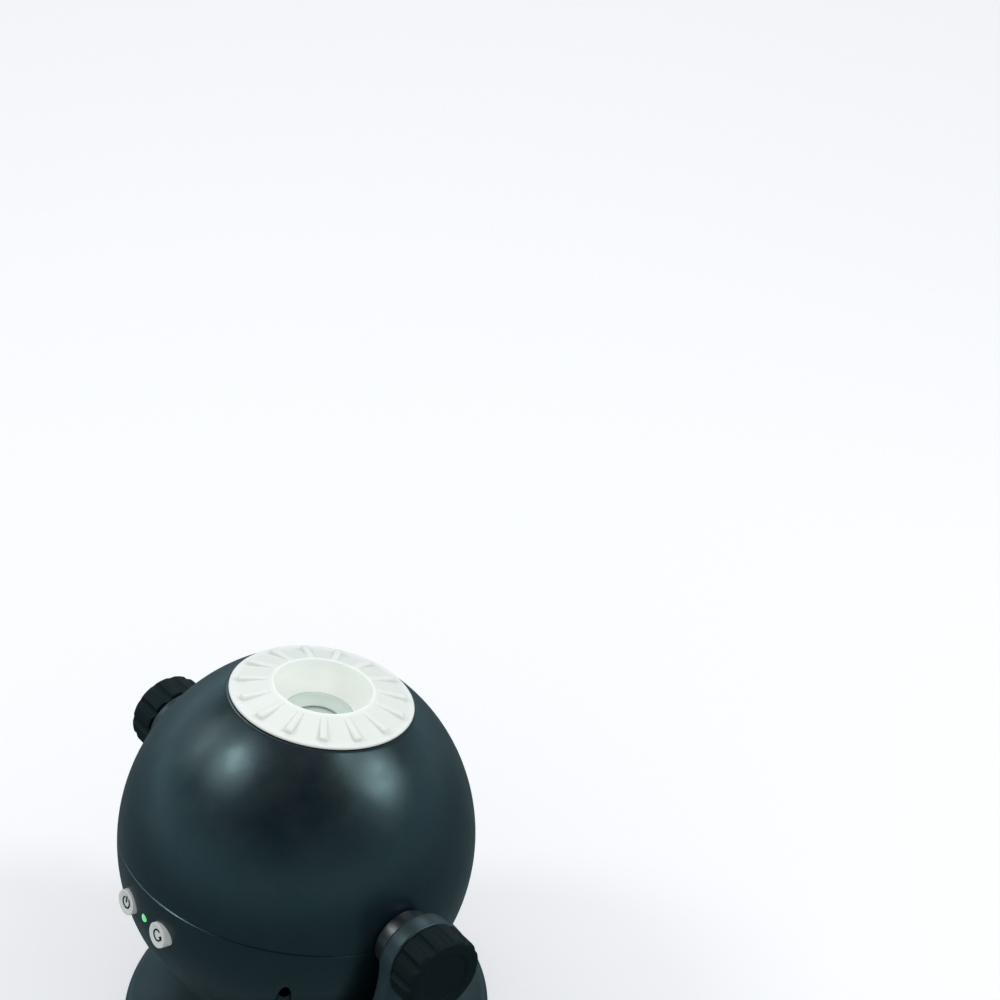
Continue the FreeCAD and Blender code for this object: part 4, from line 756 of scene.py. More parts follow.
def turning_marks_group() -> bpy.types.NodeTree:
    """Fine marks of a tool or a brush: a stretched noise for height and gloss.

    Returns:
        The group's tree.
    """
    graph, given = effect_group("turning_marks", {"Scale": 500.0, "Stretch": 0.04}, ("Height", "Gloss"))
    spot = graph.spot()
    size = graph.node("ShaderNodeCombineXYZ", {"X": given["Stretch"], "Y": 1.0, "Z": 1.0})
    long = graph.node("ShaderNodeVectorMath", {0: spot, 1: size.outputs[0]}, operation="MULTIPLY")
    marks = graph.noise(long.outputs[0], given["Scale"], 4.0)
    patch_scale = 60.0
    graph.node("NodeGroupOutput", {"Height": marks, "Gloss": graph.noise(spot, patch_scale, 3.0)})
    return graph.tree


EFFECTS: dict[str, bpy.types.NodeTree] = {}


def effect(graph: Graph, name: str, **values: float) -> bpy.types.bpy_prop_collection:
    """Places a shared effect in a material.

    Args:
        graph: the material's tree.
        name: the effect's name.
        values: the effect's inputs, with _ for a space.

    Returns:
        The effect's outputs.
    """
    placed = graph.node("ShaderNodeGroup", node_tree=EFFECTS[name])
    for label, value in values.items():
        placed.inputs[label.replace("_", " ")].default_value = value
    return placed.outputs


def linear(colour: Colour) -> tuple[float, float, float, float]:
    """A colour given as it is seen, 0 to 255, as the linear values that a shader takes."""
    shares = [part / 255 for part in colour]
    return (*[s / 12.92 if s <= 0.04045 else ((s + 0.055) / 1.055) ** 2.4 for s in shares], 1.0)


def toned(colour: Colour, factor: float) -> Colour:
    """A colour made lighter or darker."""
    return tuple(min(255.0, part * factor) for part in colour)


# --------------------------------------
# Finishes
# --------------------------------------
@dataclass(frozen=True)
class Finish:
    """What every finish has: a name, a colour as it is seen and a roughness."""

    name: str
    colour: Colour
    roughness: float = 0.5

    def draw(self, graph: Graph, shader: bpy.types.Node) -> None:
        """Draws what feeds the shader; each kind of finish has its own way.

        Args:
            graph: the material's tree.
            shader: the tree's Principled BSDF.
        """
        raise NotImplementedError

    def material(self) -> bpy.types.Material:
        """Makes the material.

        Returns:
            The material, with the finish's name.
        """
        made = bpy.data.materials.new(self.name)
        made.use_nodes = True
        made.node_tree.nodes.clear()
        graph = Graph(made.node_tree)
        shader = graph.node("ShaderNodeBsdfPrincipled", {"Roughness": self.roughness})
        self.draw(graph, shader)
        graph.node("ShaderNodeOutputMaterial", {"Surface": shader.outputs[0]})
        return made

    def bump(
        self, graph: Graph, shader: bpy.types.Node, height: Socket, strength: float, depth: float
    ) -> None:
        """Feeds a height to the shader's normal through a Bump node."""
        made = graph.node("ShaderNodeBump", {"Height": height, "Strength": strength, "Distance": depth})
        graph.tree.links.new(made.outputs[0], shader.inputs["Normal"])

    def feed(self, graph: Graph, shader: bpy.types.Node, **sockets: Socket) -> None:
        """Links sockets to the shader's inputs, with _ for a space."""
        for label, socket in sockets.items():
            graph.tree.links.new(socket, shader.inputs[label.replace("_", " ")])

    def fix(self, shader: bpy.types.Node, **values: object) -> None:
        """Sets the shader's own inputs, which are the same all over, with _ for a space."""
        for label, value in values.items():
            shader.inputs[label.replace("_", " ")].default_value = value


@dataclass(frozen=True)
class MouldedPlastic(Finish):
    """Moulded plastic: eroded grain, faint flow, worn edges and a little dust."""

    grain: float = 900.0
    grain_strength: float = 0.12
    flow: float = 0.05
    gloss_spread: float = 0.06
    grain_depth: float = 0.0001
    wear: float = 0.35
    wear_lift: float = 0.6
    dust: float = 0.10
    dust_dullness: float = 0.3
    dust_colour: Colour = (150, 152, 150)
    specular: float = 0.5
    specular_tint: Colour = WHITE

    def draw(self, graph: Graph, shader: bpy.types.Node) -> None:
        """Grain for the normal, and flow, wear and dust over the colour.

        Args:
            graph: the material's tree.
            shader: the tree's Principled BSDF.
        """
        grain = effect(graph, "moulded_grain", Scale=self.grain)
        wear = effect(graph, "edge_wear")["Mask"]
        dust = effect(graph, "dust")["Mask"]
        dark, light = toned(self.colour, 1 - self.flow), toned(self.colour, 1 + self.flow)
        base = graph.tint(graph.spread(grain["Flow"], NOISE_SPAN), linear(dark), linear(light))
        rubbed = toned(self.colour, 1.0 + self.wear_lift * self.wear)
        worn = graph.tint(graph.math("MULTIPLY", wear, self.wear), base, linear(rubbed))
        film = graph.math("MULTIPLY", dust, self.dust)
        dusty = graph.tint(film, worn, linear(self.dust_colour))
        low, top = self.roughness - self.gloss_spread, self.roughness + self.gloss_spread
        uneven = graph.spread(grain["Gloss"], NOISE_SPAN, low, top)
        dull = graph.math("MULTIPLY_ADD", film, self.dust_dullness, uneven)
        self.feed(graph, shader, Base_Color=dusty, Roughness=dull)
        self.bump(graph, shader, grain["Height"], self.grain_strength, self.grain_depth)
        self.fix(shader, Specular_IOR_Level=self.specular, Specular_Tint=linear(self.specular_tint))


@dataclass(frozen=True)
class GlowPaintedPlastic(MouldedPlastic):
    """White plastic round the lens, with a painted glow in its bowl: an emission that stands in for the light on
    the bowl's walls.

    The painted glow grows from the floor of the bowl to its lip, and dies out across the lip.
    """

    # painted glow: the strength of an emission that brightens the bowl, though the ring is no lamp
    glow: float = 0.20
    least: float = 0.1
    depth: Span = (0.0640, 0.0735)
    reach: Span = (0.0200, 0.0230)

    def draw(self, graph: Graph, shader: bpy.types.Node) -> None:
        """The moulded plastic, and a painted glow by height and by distance from the head's axis.

        Args:
            graph: the material's tree.
            shader: the tree's Principled BSDF.
        """
        super().draw(graph, shader)
        spot = graph.spot()
        head = {"Vector": spot, "Location": PIVOT, "Rotation": HEAD.to_euler()}
        upright = graph.node("ShaderNodeMapping", head, vector_type="TEXTURE").outputs[0]
        flat = graph.node("ShaderNodeVectorMath", {0: upright, 1: (1.0, 1.0, 0.0)}, operation="MULTIPLY")
        reach = graph.node("ShaderNodeVectorMath", {0: flat.outputs[0]}, operation="LENGTH").outputs["Value"]
        height = graph.node("ShaderNodeSeparateXYZ", {0: upright}).outputs[2]
        # painted glow, brightest at the bowl's lip and weakest at its floor, dying out beyond the lip
        rising = graph.spread(height, self.depth, self.least, 1.0)
        lit = graph.math("MULTIPLY", rising, graph.spread(reach, self.reach, 1.0, 0.0))
        self.feed(graph, shader, Emission_Color=graph.tint(lit, BLACK, linear(self.colour)))
        self.fix(shader, Emission_Strength=self.glow)


@dataclass(frozen=True)
class Metal(Finish):
    """Bare or plated metal with fine tool marks."""

    marks: float = 500.0
    stretch: float = 0.04
    mark_strength: float = 0.15
    mark_depth: float = 0.00005
    tarnish: float = 0.12
    tarnish_edge: Span = (0.35, 0.65)
    gloss_range: Span = (0.8, 1.25)
    wear: float = 0.5
    wear_lift: float = 1.15

    def draw(self, graph: Graph, shader: bpy.types.Node) -> None:
        """Tool marks for the normal, and uneven gloss and tarnish.

        Args:
            graph: the material's tree.
            shader: the tree's Principled BSDF.
        """
        marks = effect(graph, "turning_marks", Scale=self.marks, Stretch=self.stretch)
        wear = effect(graph, "edge_wear")["Mask"]
        tarnished = toned(self.colour, 1 - self.tarnish)
        patches = graph.spread(marks["Gloss"], self.tarnish_edge)
        base = graph.tint(patches, linear(self.colour), linear(tarnished))
        rubbed = linear(toned(self.colour, self.wear_lift))
        bright = graph.tint(graph.math("MULTIPLY", wear, self.wear), base, rubbed)
        low, top = (self.roughness * factor for factor in self.gloss_range)
        uneven = graph.spread(marks["Gloss"], NOISE_SPAN, low, top)
        self.feed(graph, shader, Base_Color=bright, Roughness=uneven)
        self.bump(graph, shader, marks["Height"], self.mark_strength, self.mark_depth)
        self.fix(shader, Metallic=1.0)


@dataclass(frozen=True)
class CoatedGlass(Finish):
    """Lens glass with a coating: clear, or opaque and milky with a painted glow."""

    clear: float = 1.0
    # glow: a painted glow, an emission on the glass
    glow: float = 0.0
    haze: float = 0.06
    haze_scale: float = 90.0
    haze_edge: Span = (0.4, 0.8)
    sheen: float = 0.25
    sheen_edge: Span = (0.35, 0.7)
    sheen_colour: Colour = (150, 160, 210)
    refraction: float = 1.49
    coat: float = 0.6
    coat_roughness: float = 0.03

    def draw(self, graph: Graph, shader: bpy.types.Node) -> None:
        """A faint coating tint and finger haze on plain glass.

        Args:
            graph: the material's tree.
            shader: the tree's Principled BSDF.
        """
        spot = graph.spot()
        haze = graph.noise(spot, self.haze_scale, 4.0)
        share = graph.spread(haze, self.sheen_edge, 0.0, self.sheen)
        tint = graph.tint(share, linear(self.colour), linear(self.sheen_colour))
        rough = graph.spread(haze, self.haze_edge, self.roughness, self.roughness + self.haze)
        # where glow is above 0, the emission is a painted glow
        self.feed(graph, shader, Base_Color=tint, Roughness=rough, Emission_Color=tint)
        self.fix(shader, Emission_Strength=self.glow, Transmission_Weight=self.clear, IOR=self.refraction,
                 Coat_Weight=self.coat, Coat_Roughness=self.coat_roughness)


@dataclass(frozen=True)
class StarFilm(Finish):
    """The film of the star disc: near black, with clear pin-holes of two sizes."""

    star_colour: Colour = (246, 246, 235)
    star_dullness: float = 0.2
    star_blur: float = 1.4
    cells: tuple[tuple[float, float], ...] = ((420.0, 0.10), (150.0, 0.07))

    def draw(self, graph: Graph, shader: bpy.types.Node) -> None:
        """Scattered dots, larger ones fewer: one layer for each scale and size of cells.

        Args:
            graph: the material's tree.
            shader: the tree's Principled BSDF.
        """
        spot = graph.spot()
        masks = []
        for scale, size in self.cells:
            cell = graph.node("ShaderNodeTexVoronoi", {"Vector": spot, "Scale": scale})
            masks.append(graph.spread(cell.outputs["Distance"], (size, size * self.star_blur), 1.0, 0.0))
        stars = graph.math("MAXIMUM", *masks)
        rough = graph.spread(stars, UNIT_SPAN, self.roughness, self.roughness + self.star_dullness)
        tint = graph.tint(stars, linear(self.colour), linear(self.star_colour))
        self.feed(graph, shader, Base_Color=tint, Roughness=rough)


@dataclass(frozen=True)
class CircuitBoard(Finish):
    """Solder mask with tracks under it and tinned pads."""

    track_colour: Colour = (60, 128, 84)
    track_edge: Span = (0.06, 0.10)
    track_strength: float = 0.3
    track_height: float = 0.00008
    pad_colour: Colour = (196, 190, 170)
    pad_edge: Span = (0.10, 0.13)
    pad_roughness: float = 0.3
    grid: float = 260.0
    unevenness: float = 0.35

    def draw(self, graph: Graph, shader: bpy.types.Node) -> None:
        """Tracks follow the edges of cells, pads sit in their middles.

        Args:
            graph: the material's tree.
            shader: the tree's Principled BSDF.
        """
        spot = graph.spot()
        grid = {"Vector": spot, "Scale": self.grid, "Randomness": self.unevenness}
        lines = graph.node("ShaderNodeTexVoronoi", grid, distance="CHEBYCHEV", feature="DISTANCE_TO_EDGE")
        cells = graph.node("ShaderNodeTexVoronoi", grid, distance="CHEBYCHEV")
        track = graph.spread(lines.outputs["Distance"], self.track_edge, 1.0, 0.0)
        pad = graph.spread(cells.outputs["Distance"], self.pad_edge, 1.0, 0.0)
        mask = graph.tint(track, linear(self.colour), linear(self.track_colour))
        tint = graph.tint(pad, mask, linear(self.pad_colour))
        rough = graph.spread(pad, UNIT_SPAN, self.roughness, self.pad_roughness)
        self.feed(graph, shader, Base_Color=tint, Roughness=rough)
        self.bump(graph, shader, track, self.track_strength, self.track_height)


@dataclass(frozen=True)
class CellWrap(Finish):
    """The printed sleeve of a battery cell: a dark body and a band at one end."""

    band_colour: Colour = (196, 128, 62)
    band_start: float = 0.012
    band_blur: float = 0.0003
    shimmer: float = 0.12
    shimmer_scale: float = 220.0
    gloss_spread: Span = (-0.05, 0.10)
    metallic: float = 0.3

    def draw(self, graph: Graph, shader: bpy.types.Node) -> None:
        """A band along X, with a faint printed shimmer.

        Args:
            graph: the material's tree.
            shader: the tree's Principled BSDF.
        """
        spot = graph.spot()
        along = graph.node("ShaderNodeSeparateXYZ", {0: spot}).outputs[0]
        cloud = graph.noise(spot, self.shimmer_scale, 3.0)
        band = graph.spread(along, (self.band_start, self.band_start + self.band_blur))
        sleeve = graph.tint(band, linear(self.colour), linear(self.band_colour))
        tint = graph.tint(graph.spread(cloud, NOISE_SPAN, 0.0, self.shimmer), sleeve, linear(WHITE))
        low, top = (self.roughness + change for change in self.gloss_spread)
        self.feed(graph, shader, Base_Color=tint, Roughness=graph.spread(cloud, NOISE_SPAN, low, top))
        self.fix(shader, Metallic=self.metallic)


@dataclass(frozen=True)
class Glow(Finish):
    """A lit dome or light pipe: coloured plastic with a soft light in it."""

    strength: float = 0.6
    dim: float = 0.82
    cloud_scale: float = 600.0

    def draw(self, graph: Graph, shader: bpy.types.Node) -> None:
        """A glow that is a little uneven, as in a diffusing plastic.

        Args:
            graph: the material's tree.
            shader: the tree's Principled BSDF.
        """
        cloud = graph.noise(graph.spot(), self.cloud_scale, 2.0)
        weak = linear(toned(self.colour, self.dim))
        light = graph.tint(graph.spread(cloud, NOISE_SPAN), weak, linear(self.colour))
        self.feed(graph, shader, Base_Color=light, Emission_Color=light)
        self.fix(shader, Emission_Strength=self.strength)


COOL_SHINE = (205, 250, 255)
FINISHES: dict[str, Finish] = {
    finish.name: finish
    for finish in (
        MouldedPlastic("shell_plastic", (10, 22, 29), 0.33, grain_strength=0.08, specular=0.8,
                       specular_tint=COOL_SHINE),
        # the ring's white carries a painted glow in its bowl
        GlowPaintedPlastic("ring_plastic", (226, 231, 225), 0.48, grain_strength=0.06, flow=0.008,
                   wear=0.05, dust=0.03, dust_colour=(200, 200, 194)),
        MouldedPlastic("stand_plastic", (26, 37, 43), 0.42, grain_strength=0.14, specular=0.8,
                       specular_tint=COOL_SHINE),
        MouldedPlastic("knob_rubber", (8, 19, 22), 0.6, grain=1300.0, grain_strength=0.2, dust=0.04,
                       specular=0.2, specular_tint=COOL_SHINE),
        MouldedPlastic("foot_rubber", (28, 30, 31), 0.82, grain=700.0, grain_strength=0.35, dust=0.0),
        Metal("plate_steel", (150, 153, 156), 0.38, marks=260.0, stretch=0.03),
        Metal("ballast_steel", (112, 114, 118), 0.55, marks=160.0, stretch=0.6, mark_strength=0.4),
        Metal("screw_steel", (176, 178, 180), 0.28, marks=900.0, stretch=1.0),
        Metal("hub_metal", (112, 116, 120), 0.36),
        Metal("insert_brass", (196, 160, 92), 0.3),
        MouldedPlastic("bush_nylon", (226, 222, 208), 0.5, grain_strength=0.05, dust=0.0),
        MouldedPlastic("gear_acetal", (236, 234, 224), 0.4, grain_strength=0.04, dust=0.0, wear=0.1),
        CoatedGlass("lens_glass", (236, 242, 246), 0.02),
        MouldedPlastic("optic_black", (22, 23, 25), 0.6, grain_strength=0.12, dust=0.0),
        MouldedPlastic("chassis_plastic", (58, 60, 64), 0.55, grain_strength=0.15, dust=0.05),
        StarFilm("film", (12, 12, 16), 0.22),
        CircuitBoard("circuit_board", (28, 86, 54), 0.35),
        Metal("heat_aluminium", (188, 190, 194), 0.35, marks=400.0, stretch=0.05),
        Metal("motor_steel", (166, 168, 172), 0.3, marks=420.0),
        Glow("lamp_dome", (255, 244, 206), 0.3, strength=0.9),
        CellWrap("cell_wrap", (36, 38, 42), 0.3),
        Metal("contact_metal", (190, 186, 176), 0.3),
        MouldedPlastic("button_plastic", (214, 218, 216), 0.42, grain_strength=0.05, flow=0.01, wear=0.1,
                       dust=0.04),
        Glow("indicator", (120, 226, 150), 0.25, strength=0.5),
        MouldedPlastic("switch_plastic", (30, 30, 32), 0.45, grain_strength=0.1, dust=0.0),
        # the front lens: opaque milky glass with a painted glow in place of lamp light passing through it
        CoatedGlass("painted_glow_lens", (170, 181, 176), 0.10, clear=0.0, sheen_colour=(196, 206, 202), glow=0.22),
        # a greyer copy of the ring's white: painted shade at the bottom of the bowl
        MouldedPlastic("eye_plastic_painted_shade", (206, 219, 211), 0.42, grain_strength=0.06, flow=0.02, dust=0.03),
    )
}
MATERIALS: dict[str, bpy.types.Material] = {}


# --------------------------------------
# The sub-assemblies
# --------------------------------------
@dataclass
class SubAssembly:
    """Pieces that are built together. Each knows its body, its finish and the nodes it stands for."""

    pieces: list[Piece] = field(default_factory=list, init=False)

    def build(self) -> None:
        """Makes the meshes."""
        raise NotImplementedError

    def add(self, piece: Piece, body: str, slot: str, *nodes: str, finish: str = "") -> Piece:
        """Gives a finished mesh its material, its body and its nodes.

        Args:
            piece: the object.
            body: the body that it moves with.
            slot: the record's material slot.
            nodes: the nodes that it stands for.
            finish: the name of the finish, where it isn't the slot's own.

        Returns:
            The piece.
        """
        piece.data.materials.clear()
        piece.data.materials.append(MATERIALS[finish or slot])
        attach(piece, body)
        if nodes:
            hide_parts(*nodes)
        self.pieces.append(piece)
        log.info("%s: %d faces, rides on %s", piece.name, len(piece.data.polygons), body)
        return piece


@dataclass
class Housing(SubAssembly):
    """The two shells of the egg-shaped head."""

    ball_radius: float = 0.0750
    crown_offset: float = 0.0100
    wall: float = 0.0024
    collar_wall: float = 0.0025
    collar_bore: float = 0.0257
    collar_length: float = 0.0112
    seam_step: float = 0.0004
    crown_rounding: float = 0.0006
    keel_rounding: float = 0.0018
    arc_steps: int = 56
    segments: int = 224
    tower_radius: float = 0.0040
    tower_inset: float = 0.0065
    tower_angle: float = 35.0
    tower_length: float = 0.0220
    well_radius: float = 0.0031
    hub_hole: float = 0.0081
    gap: float = 0.0003
    door_height: float = 0.0092
    tray_front: float = 0.0265
    button_flange: float = 0.0011
    light_gap: float = 0.0001
    front_hole: float = -0.060

    def __post_init__(self) -> None:
        """Reads the heights of the seam, crown and keel from the frame."""
        upper = Extent.of("upper_shell", HEAD)
        lower = Extent.of("lower_shell", HEAD)
        self.crown = upper.top.z
        self.seam = upper.low.z
        self.keel = lower.low.z

    def egg(self, inset: float, low: float, top: float) -> list[Point]:
        """The egg's profile.

        Args:
            inset: how far it is moved in.
            low: the height at which it starts.
            top: the height at which it ends.

        Returns:
            The points of the profile, upwards.
        """
        radius = self.ball_radius + self.crown_offset - inset
        start, stop = math.asin(low / radius), math.asin(top / radius)
        turns = [start + (stop - start) * step / self.arc_steps for step in range(self.arc_steps + 1)]
        return [(radius * math.cos(t) - self.crown_offset, radius * math.sin(t)) for t in turns]

    def whole_egg(self, inset: float = 0.0) -> Shape:
        """The egg as one solid, which other pieces are trimmed by."""
        low, top = self.keel + inset, self.crown - inset
        return lathe([(0, low), *self.egg(inset, low, top), (0, top)], self.segments, closed=False)

    def bars(self, radius: float, low: float, top: float) -> Shape:
        """Four upright bars, one at each shell screw.

        Args:
            radius: their radius.
            low: the height of their lower ends.
            top: the height of their upper ends.

        Returns:
            The four bars.
        """
        reach = self.ball_radius - self.tower_inset
        turn = math.radians(self.tower_angle)
        spots = [(i * reach * math.cos(turn), j * reach * math.sin(turn)) for i in (-1, 1) for j in (-1, 1)]
        return join(*[rod(radius, low, top, spot) for spot in spots])

    def hub_holes(self) -> Shape:
        """A bar along the tilt axis, as thick as the holes for the two hubs."""
        shape = rod(self.hub_hole, -2 * self.ball_radius, 2 * self.ball_radius)
        return moved(shape, Side.RIGHT.along_axis)

    def build(self) -> None:
        """Makes both shells."""
        self.build_upper()
        self.build_lower()

    def build_upper(self) -> None:
        """The upper shell, with its collar and the slot for the disc tray."""
        seam, crown, step = self.seam, self.crown, self.seam_step
        outer, inner = self.egg(0, seam + step, crown), self.egg(self.wall, seam, crown - self.wall)
        collar = self.collar_bore + self.collar_wall
        low = crown - self.collar_length
        bore = self.collar_bore
        outline = [
            (outer[0][0] - step, seam), *outer[:-1],
            *soften([outer[-2], (*outer[-1], self.crown_rounding), (bore, crown)], closed=False)[1:-1],
            *soften([(0, crown), (bore, crown, self.gap), (bore, low)], closed=False)[1:-1],
            (bore, low), (collar, low), (collar, inner[-1][1]), *reversed(inner),
        ]
        shell = new_piece("upper_shell_skin", lathe(outline, self.segments))
        tray = Extent.of("disc_tray", HEAD)
        slot_low, slot_top = tray.low.z - self.gap, tray.low.z + self.door_height + self.gap
        slot = box(Vector((2 * (tray.top.x + self.gap), self.ball_radius, slot_top - slot_low)),
                   Vector((0, self.tray_front + self.ball_radius / 2, (slot_low + slot_top) / 2)))
        combine(shell, slot)
        combine(shell, self.hub_holes())
        put(shade(shell), HEAD)
        self.add(shell, "head", "shell_plastic", "upper_shell")

    def build_lower(self) -> None:
        """The lower shell, with the holes for the hatch, the buttons and the screws."""
        seam, keel, step = self.seam, self.keel, self.seam_step
        outer = self.egg(0, keel, seam - step)
        inner = self.egg(self.wall, keel + self.wall, seam)
        outline = [
            (0, keel),
            *soften([(0, keel), (*outer[0], self.keel_rounding), outer[2]], closed=False)[1:-1],
            *outer[2:], (outer[-1][0] - step, seam), *reversed(inner), (0, keel + self.wall),
        ]
        shell = new_piece("lower_shell_skin", lathe(outline, self.segments, closed=False))
        low = seam - self.tower_length
        towers = new_piece("lower_towers", self.bars(self.tower_radius, low, seam - step))
        combine(towers, self.whole_egg(self.wall / 2), Work.TRIM)
        shape = bmesh.new()
        shape.from_mesh(towers.data)
        bpy.data.objects.remove(towers)
        combine(shell, shape, Work.ADD)
        hatch = Extent.of("battery_cover", HEAD)
        opening = Vector((2 * (hatch.top.x + self.gap), 2 * (hatch.top.y + self.gap), 4 * self.wall))
        combine(shell, box(opening, Vector((0, 0, keel))))
        combine(shell, self.bars(self.well_radius, 2 * keel, seam - self.tower_length / 2))
        combine(shell, self.hub_holes())
        for node, gap, flange in (
            ("power_button", self.gap, self.button_flange),
            ("rotate_button", self.gap, self.button_flange),
            ("indicator_lens", self.light_gap, 0.0),
        ):
            part = Extent.of(node, HEAD)
            middle = (part.low + part.top) / 2
            bore = rod((part.top.x - part.low.x) / 2 + gap - flange, -self.ball_radius, 0.0)
            start = Matrix.Translation((middle.x, self.front_hole, middle.z))
            combine(shell, moved(bore, start @ Matrix.Rotation(-math.pi / 2, 4, "X")))
        put(shade(shell), HEAD)
        self.add(shell, "head", "shell_plastic", "lower_shell")


@dataclass
class FocusRing(SubAssembly):
    """The ribbed ring round the lens, its bowl and the skirt with the cam slots."""

    gap: float = 0.0004
    rim_rise: float = 0.0004
    rim_rounding: float = 0.0013
    edge: float = 0.0003
    cone_rounding: float = 0.0012
    lip_roundings: tuple[float, ...] = (0.0020, 0.0006, 0.0010)
    band_rise: float = 0.0011
    band_width: float = 0.0026
    lip_rise: float = 0.0056
    lip_reach: float = 0.0205
    lip_width: float = 0.0023
    bowl_depth: float = 0.0118
    bowl_curve: float = 0.0112
    bowl_wall: float = 0.0012
    bowl_web: float = 0.0050
    web_rounding: float = 0.0012
    throat: float = 0.0142
    throat_land: float = 0.0018
    land_rounding: float = 0.0010
    skirt_reach: float = 0.0256
    skirt_wall: float = 0.0034
    clip_low: float = 0.0567
    clip_top: float = 0.0579
    clip_depth: float = 0.0008
    rib_count: int = 15
    rib_width: float = 0.0032
    rib_height: float = 0.0020
    rib_rounding: float = 0.0010
    rib_inset: float = 0.0006
    rib_edge: float = 0.0007
    rib_turn: float = 13.7
    slot_half: float = 0.0013
    slot_middle: float = 0.0505
    slot_turn: float = 55.0
    slot_rise: float = 0.0033
    slot_steps: int = 48
    slots: int = 3
    bowl_steps: int = 32
    segments: int = 300

    def __post_init__(self) -> None:
        """Reads the ring's reach and the height of its rim from the frame."""
        self.reach = Extent.of("focus_ring", HEAD).reach
        self.low = Extent.of("upper_shell", HEAD).top.z + self.gap
        self.skirt_low = Extent.of("focus_ring", HEAD).low.z
        self.band_top = self.low + self.band_rise
        self.lip_top = self.low + self.lip_rise
        self.cone_start = self.reach - self.band_width
        self.cone_end = self.lip_reach + self.lip_width

    def slot(self, first: float) -> Shape:
        """One helical cutter for a cam slot.

        Args:
            first: the turn of the slot's middle, in degrees.

        Returns:
            The cutter.
        """
        shape = bmesh.new()
        rings = []
        for step in range(self.slot_steps + 1):
            share = 2 * step / self.slot_steps - 1
            turn = math.radians(first + share * self.slot_turn)
            middle = self.slot_middle - share * self.slot_rise
            ring = []
            for reach, side in ((-1, -1), (1, -1), (1, 1), (-1, 1)):
                away = self.skirt_reach - self.skirt_wall / 2 + reach * self.skirt_wall
                spot = (away * math.cos(turn), away * math.sin(turn), middle + side * self.slot_half)
                ring.append(shape.verts.new(spot))
            rings.append(ring)
        for near, far in zip(rings, rings[1:]):
            for index in range(4):
                follower = (index + 1) % 4
                shape.faces.new((near[index], near[follower], far[follower], far[index]))
        shape.faces.new(rings[0])
        shape.faces.new(rings[-1])
        return shape

    def build(self) -> None:
        """Makes the turned ring, cuts its cam slots and adds the ribs."""
        lip_low = self.lip_top - self.lip_width / 2
        floor = self.lip_top - self.bowl_depth
        skirt_bore = self.skirt_reach - self.skirt_wall
        neck = self.skirt_reach - self.clip_depth
        edge = self.edge
        outer, top, inner = self.lip_roundings
        face = soften([
            (self.skirt_reach, self.low),
            (self.reach, self.low, edge),
            (self.reach, self.band_top, self.rim_rounding),
            (self.cone_start, self.band_top, self.cone_rounding),
            (self.cone_end - self.lip_width / 4, self.lip_top - self.lip_width / 5, outer),
            (self.lip_reach + self.lip_width / 3, self.lip_top, top),
            (self.lip_reach, self.lip_top, inner),
            (self.lip_reach, lip_low),
        ], steps=7, closed=False)
        lip, throat = (self.lip_reach, lip_low), (self.throat + edge, floor)
        bowl = bow(lip, throat, -self.bowl_curve, self.bowl_steps)
        back = soften([
            bowl[-1],
            (self.throat, floor - edge, edge),
            (self.throat, floor - self.bowl_wall, edge),
            (self.throat + self.throat_land, floor - self.bowl_wall, self.land_rounding),
            (skirt_bore, self.low - self.bowl_web, self.web_rounding),
            (skirt_bore, self.skirt_low, edge),
            (self.skirt_reach, self.skirt_low, edge),
            (self.skirt_reach, self.clip_low),
            (neck, self.clip_low),
            (neck, self.clip_top),
            (self.skirt_reach, self.clip_top),
        ], steps=7, closed=False)
        ring = new_piece("focus_ring_body", lathe(face[:-1] + bowl + back[1:], self.segments))
        for index in range(self.slots):
            combine(ring, self.slot(90.0 + 360.0 / self.slots * index))
        put(shade(ring), HEAD)
        self.add(ring, "focus_ring", "ring_plastic", "focus_ring")
        put(shade(self.ribs(lip_low)), HEAD)

    def ribs(self, lip_low: float) -> Piece:
        """The raised bars on the cone, repeated round the axis.

        Args:
            lip_low: the height at which the lip's inner wall ends.

        Returns:
            The piece with all ribs.
        """
        slope = (lip_low - self.band_top) / (self.cone_start - self.cone_end)
        end = self.cone_start - self.rib_inset
        top = self.band_top + slope * self.rib_rounding + self.rib_height
        start = self.cone_end - self.lip_width / 4
        side = [
            (start, self.band_top),
            (end, self.band_top - self.rim_rise / 2),
            *arc((end - self.rib_rounding, top - self.rib_rounding), self.rib_rounding, 0, 90, 8),
            (start, self.lip_top - self.lip_width / 8),
        ]
        upright = Matrix.Rotation(math.pi / 2, 4, "X")
        middle = Matrix.Translation((0, self.rib_width / 2, 0))
        rib = new_piece("focus_ring_ribs", prism(side, self.rib_width, middle @ upright))
        round_edges(rib, self.rib_edge, segments=4, angle=30)
        round_repeat_tree().run(
            rib, MATERIALS["ring_plastic"], Count=self.rib_count, First_Turn=math.radians(self.rib_turn))
        return self.add(rib, "focus_ring", "ring_plastic")


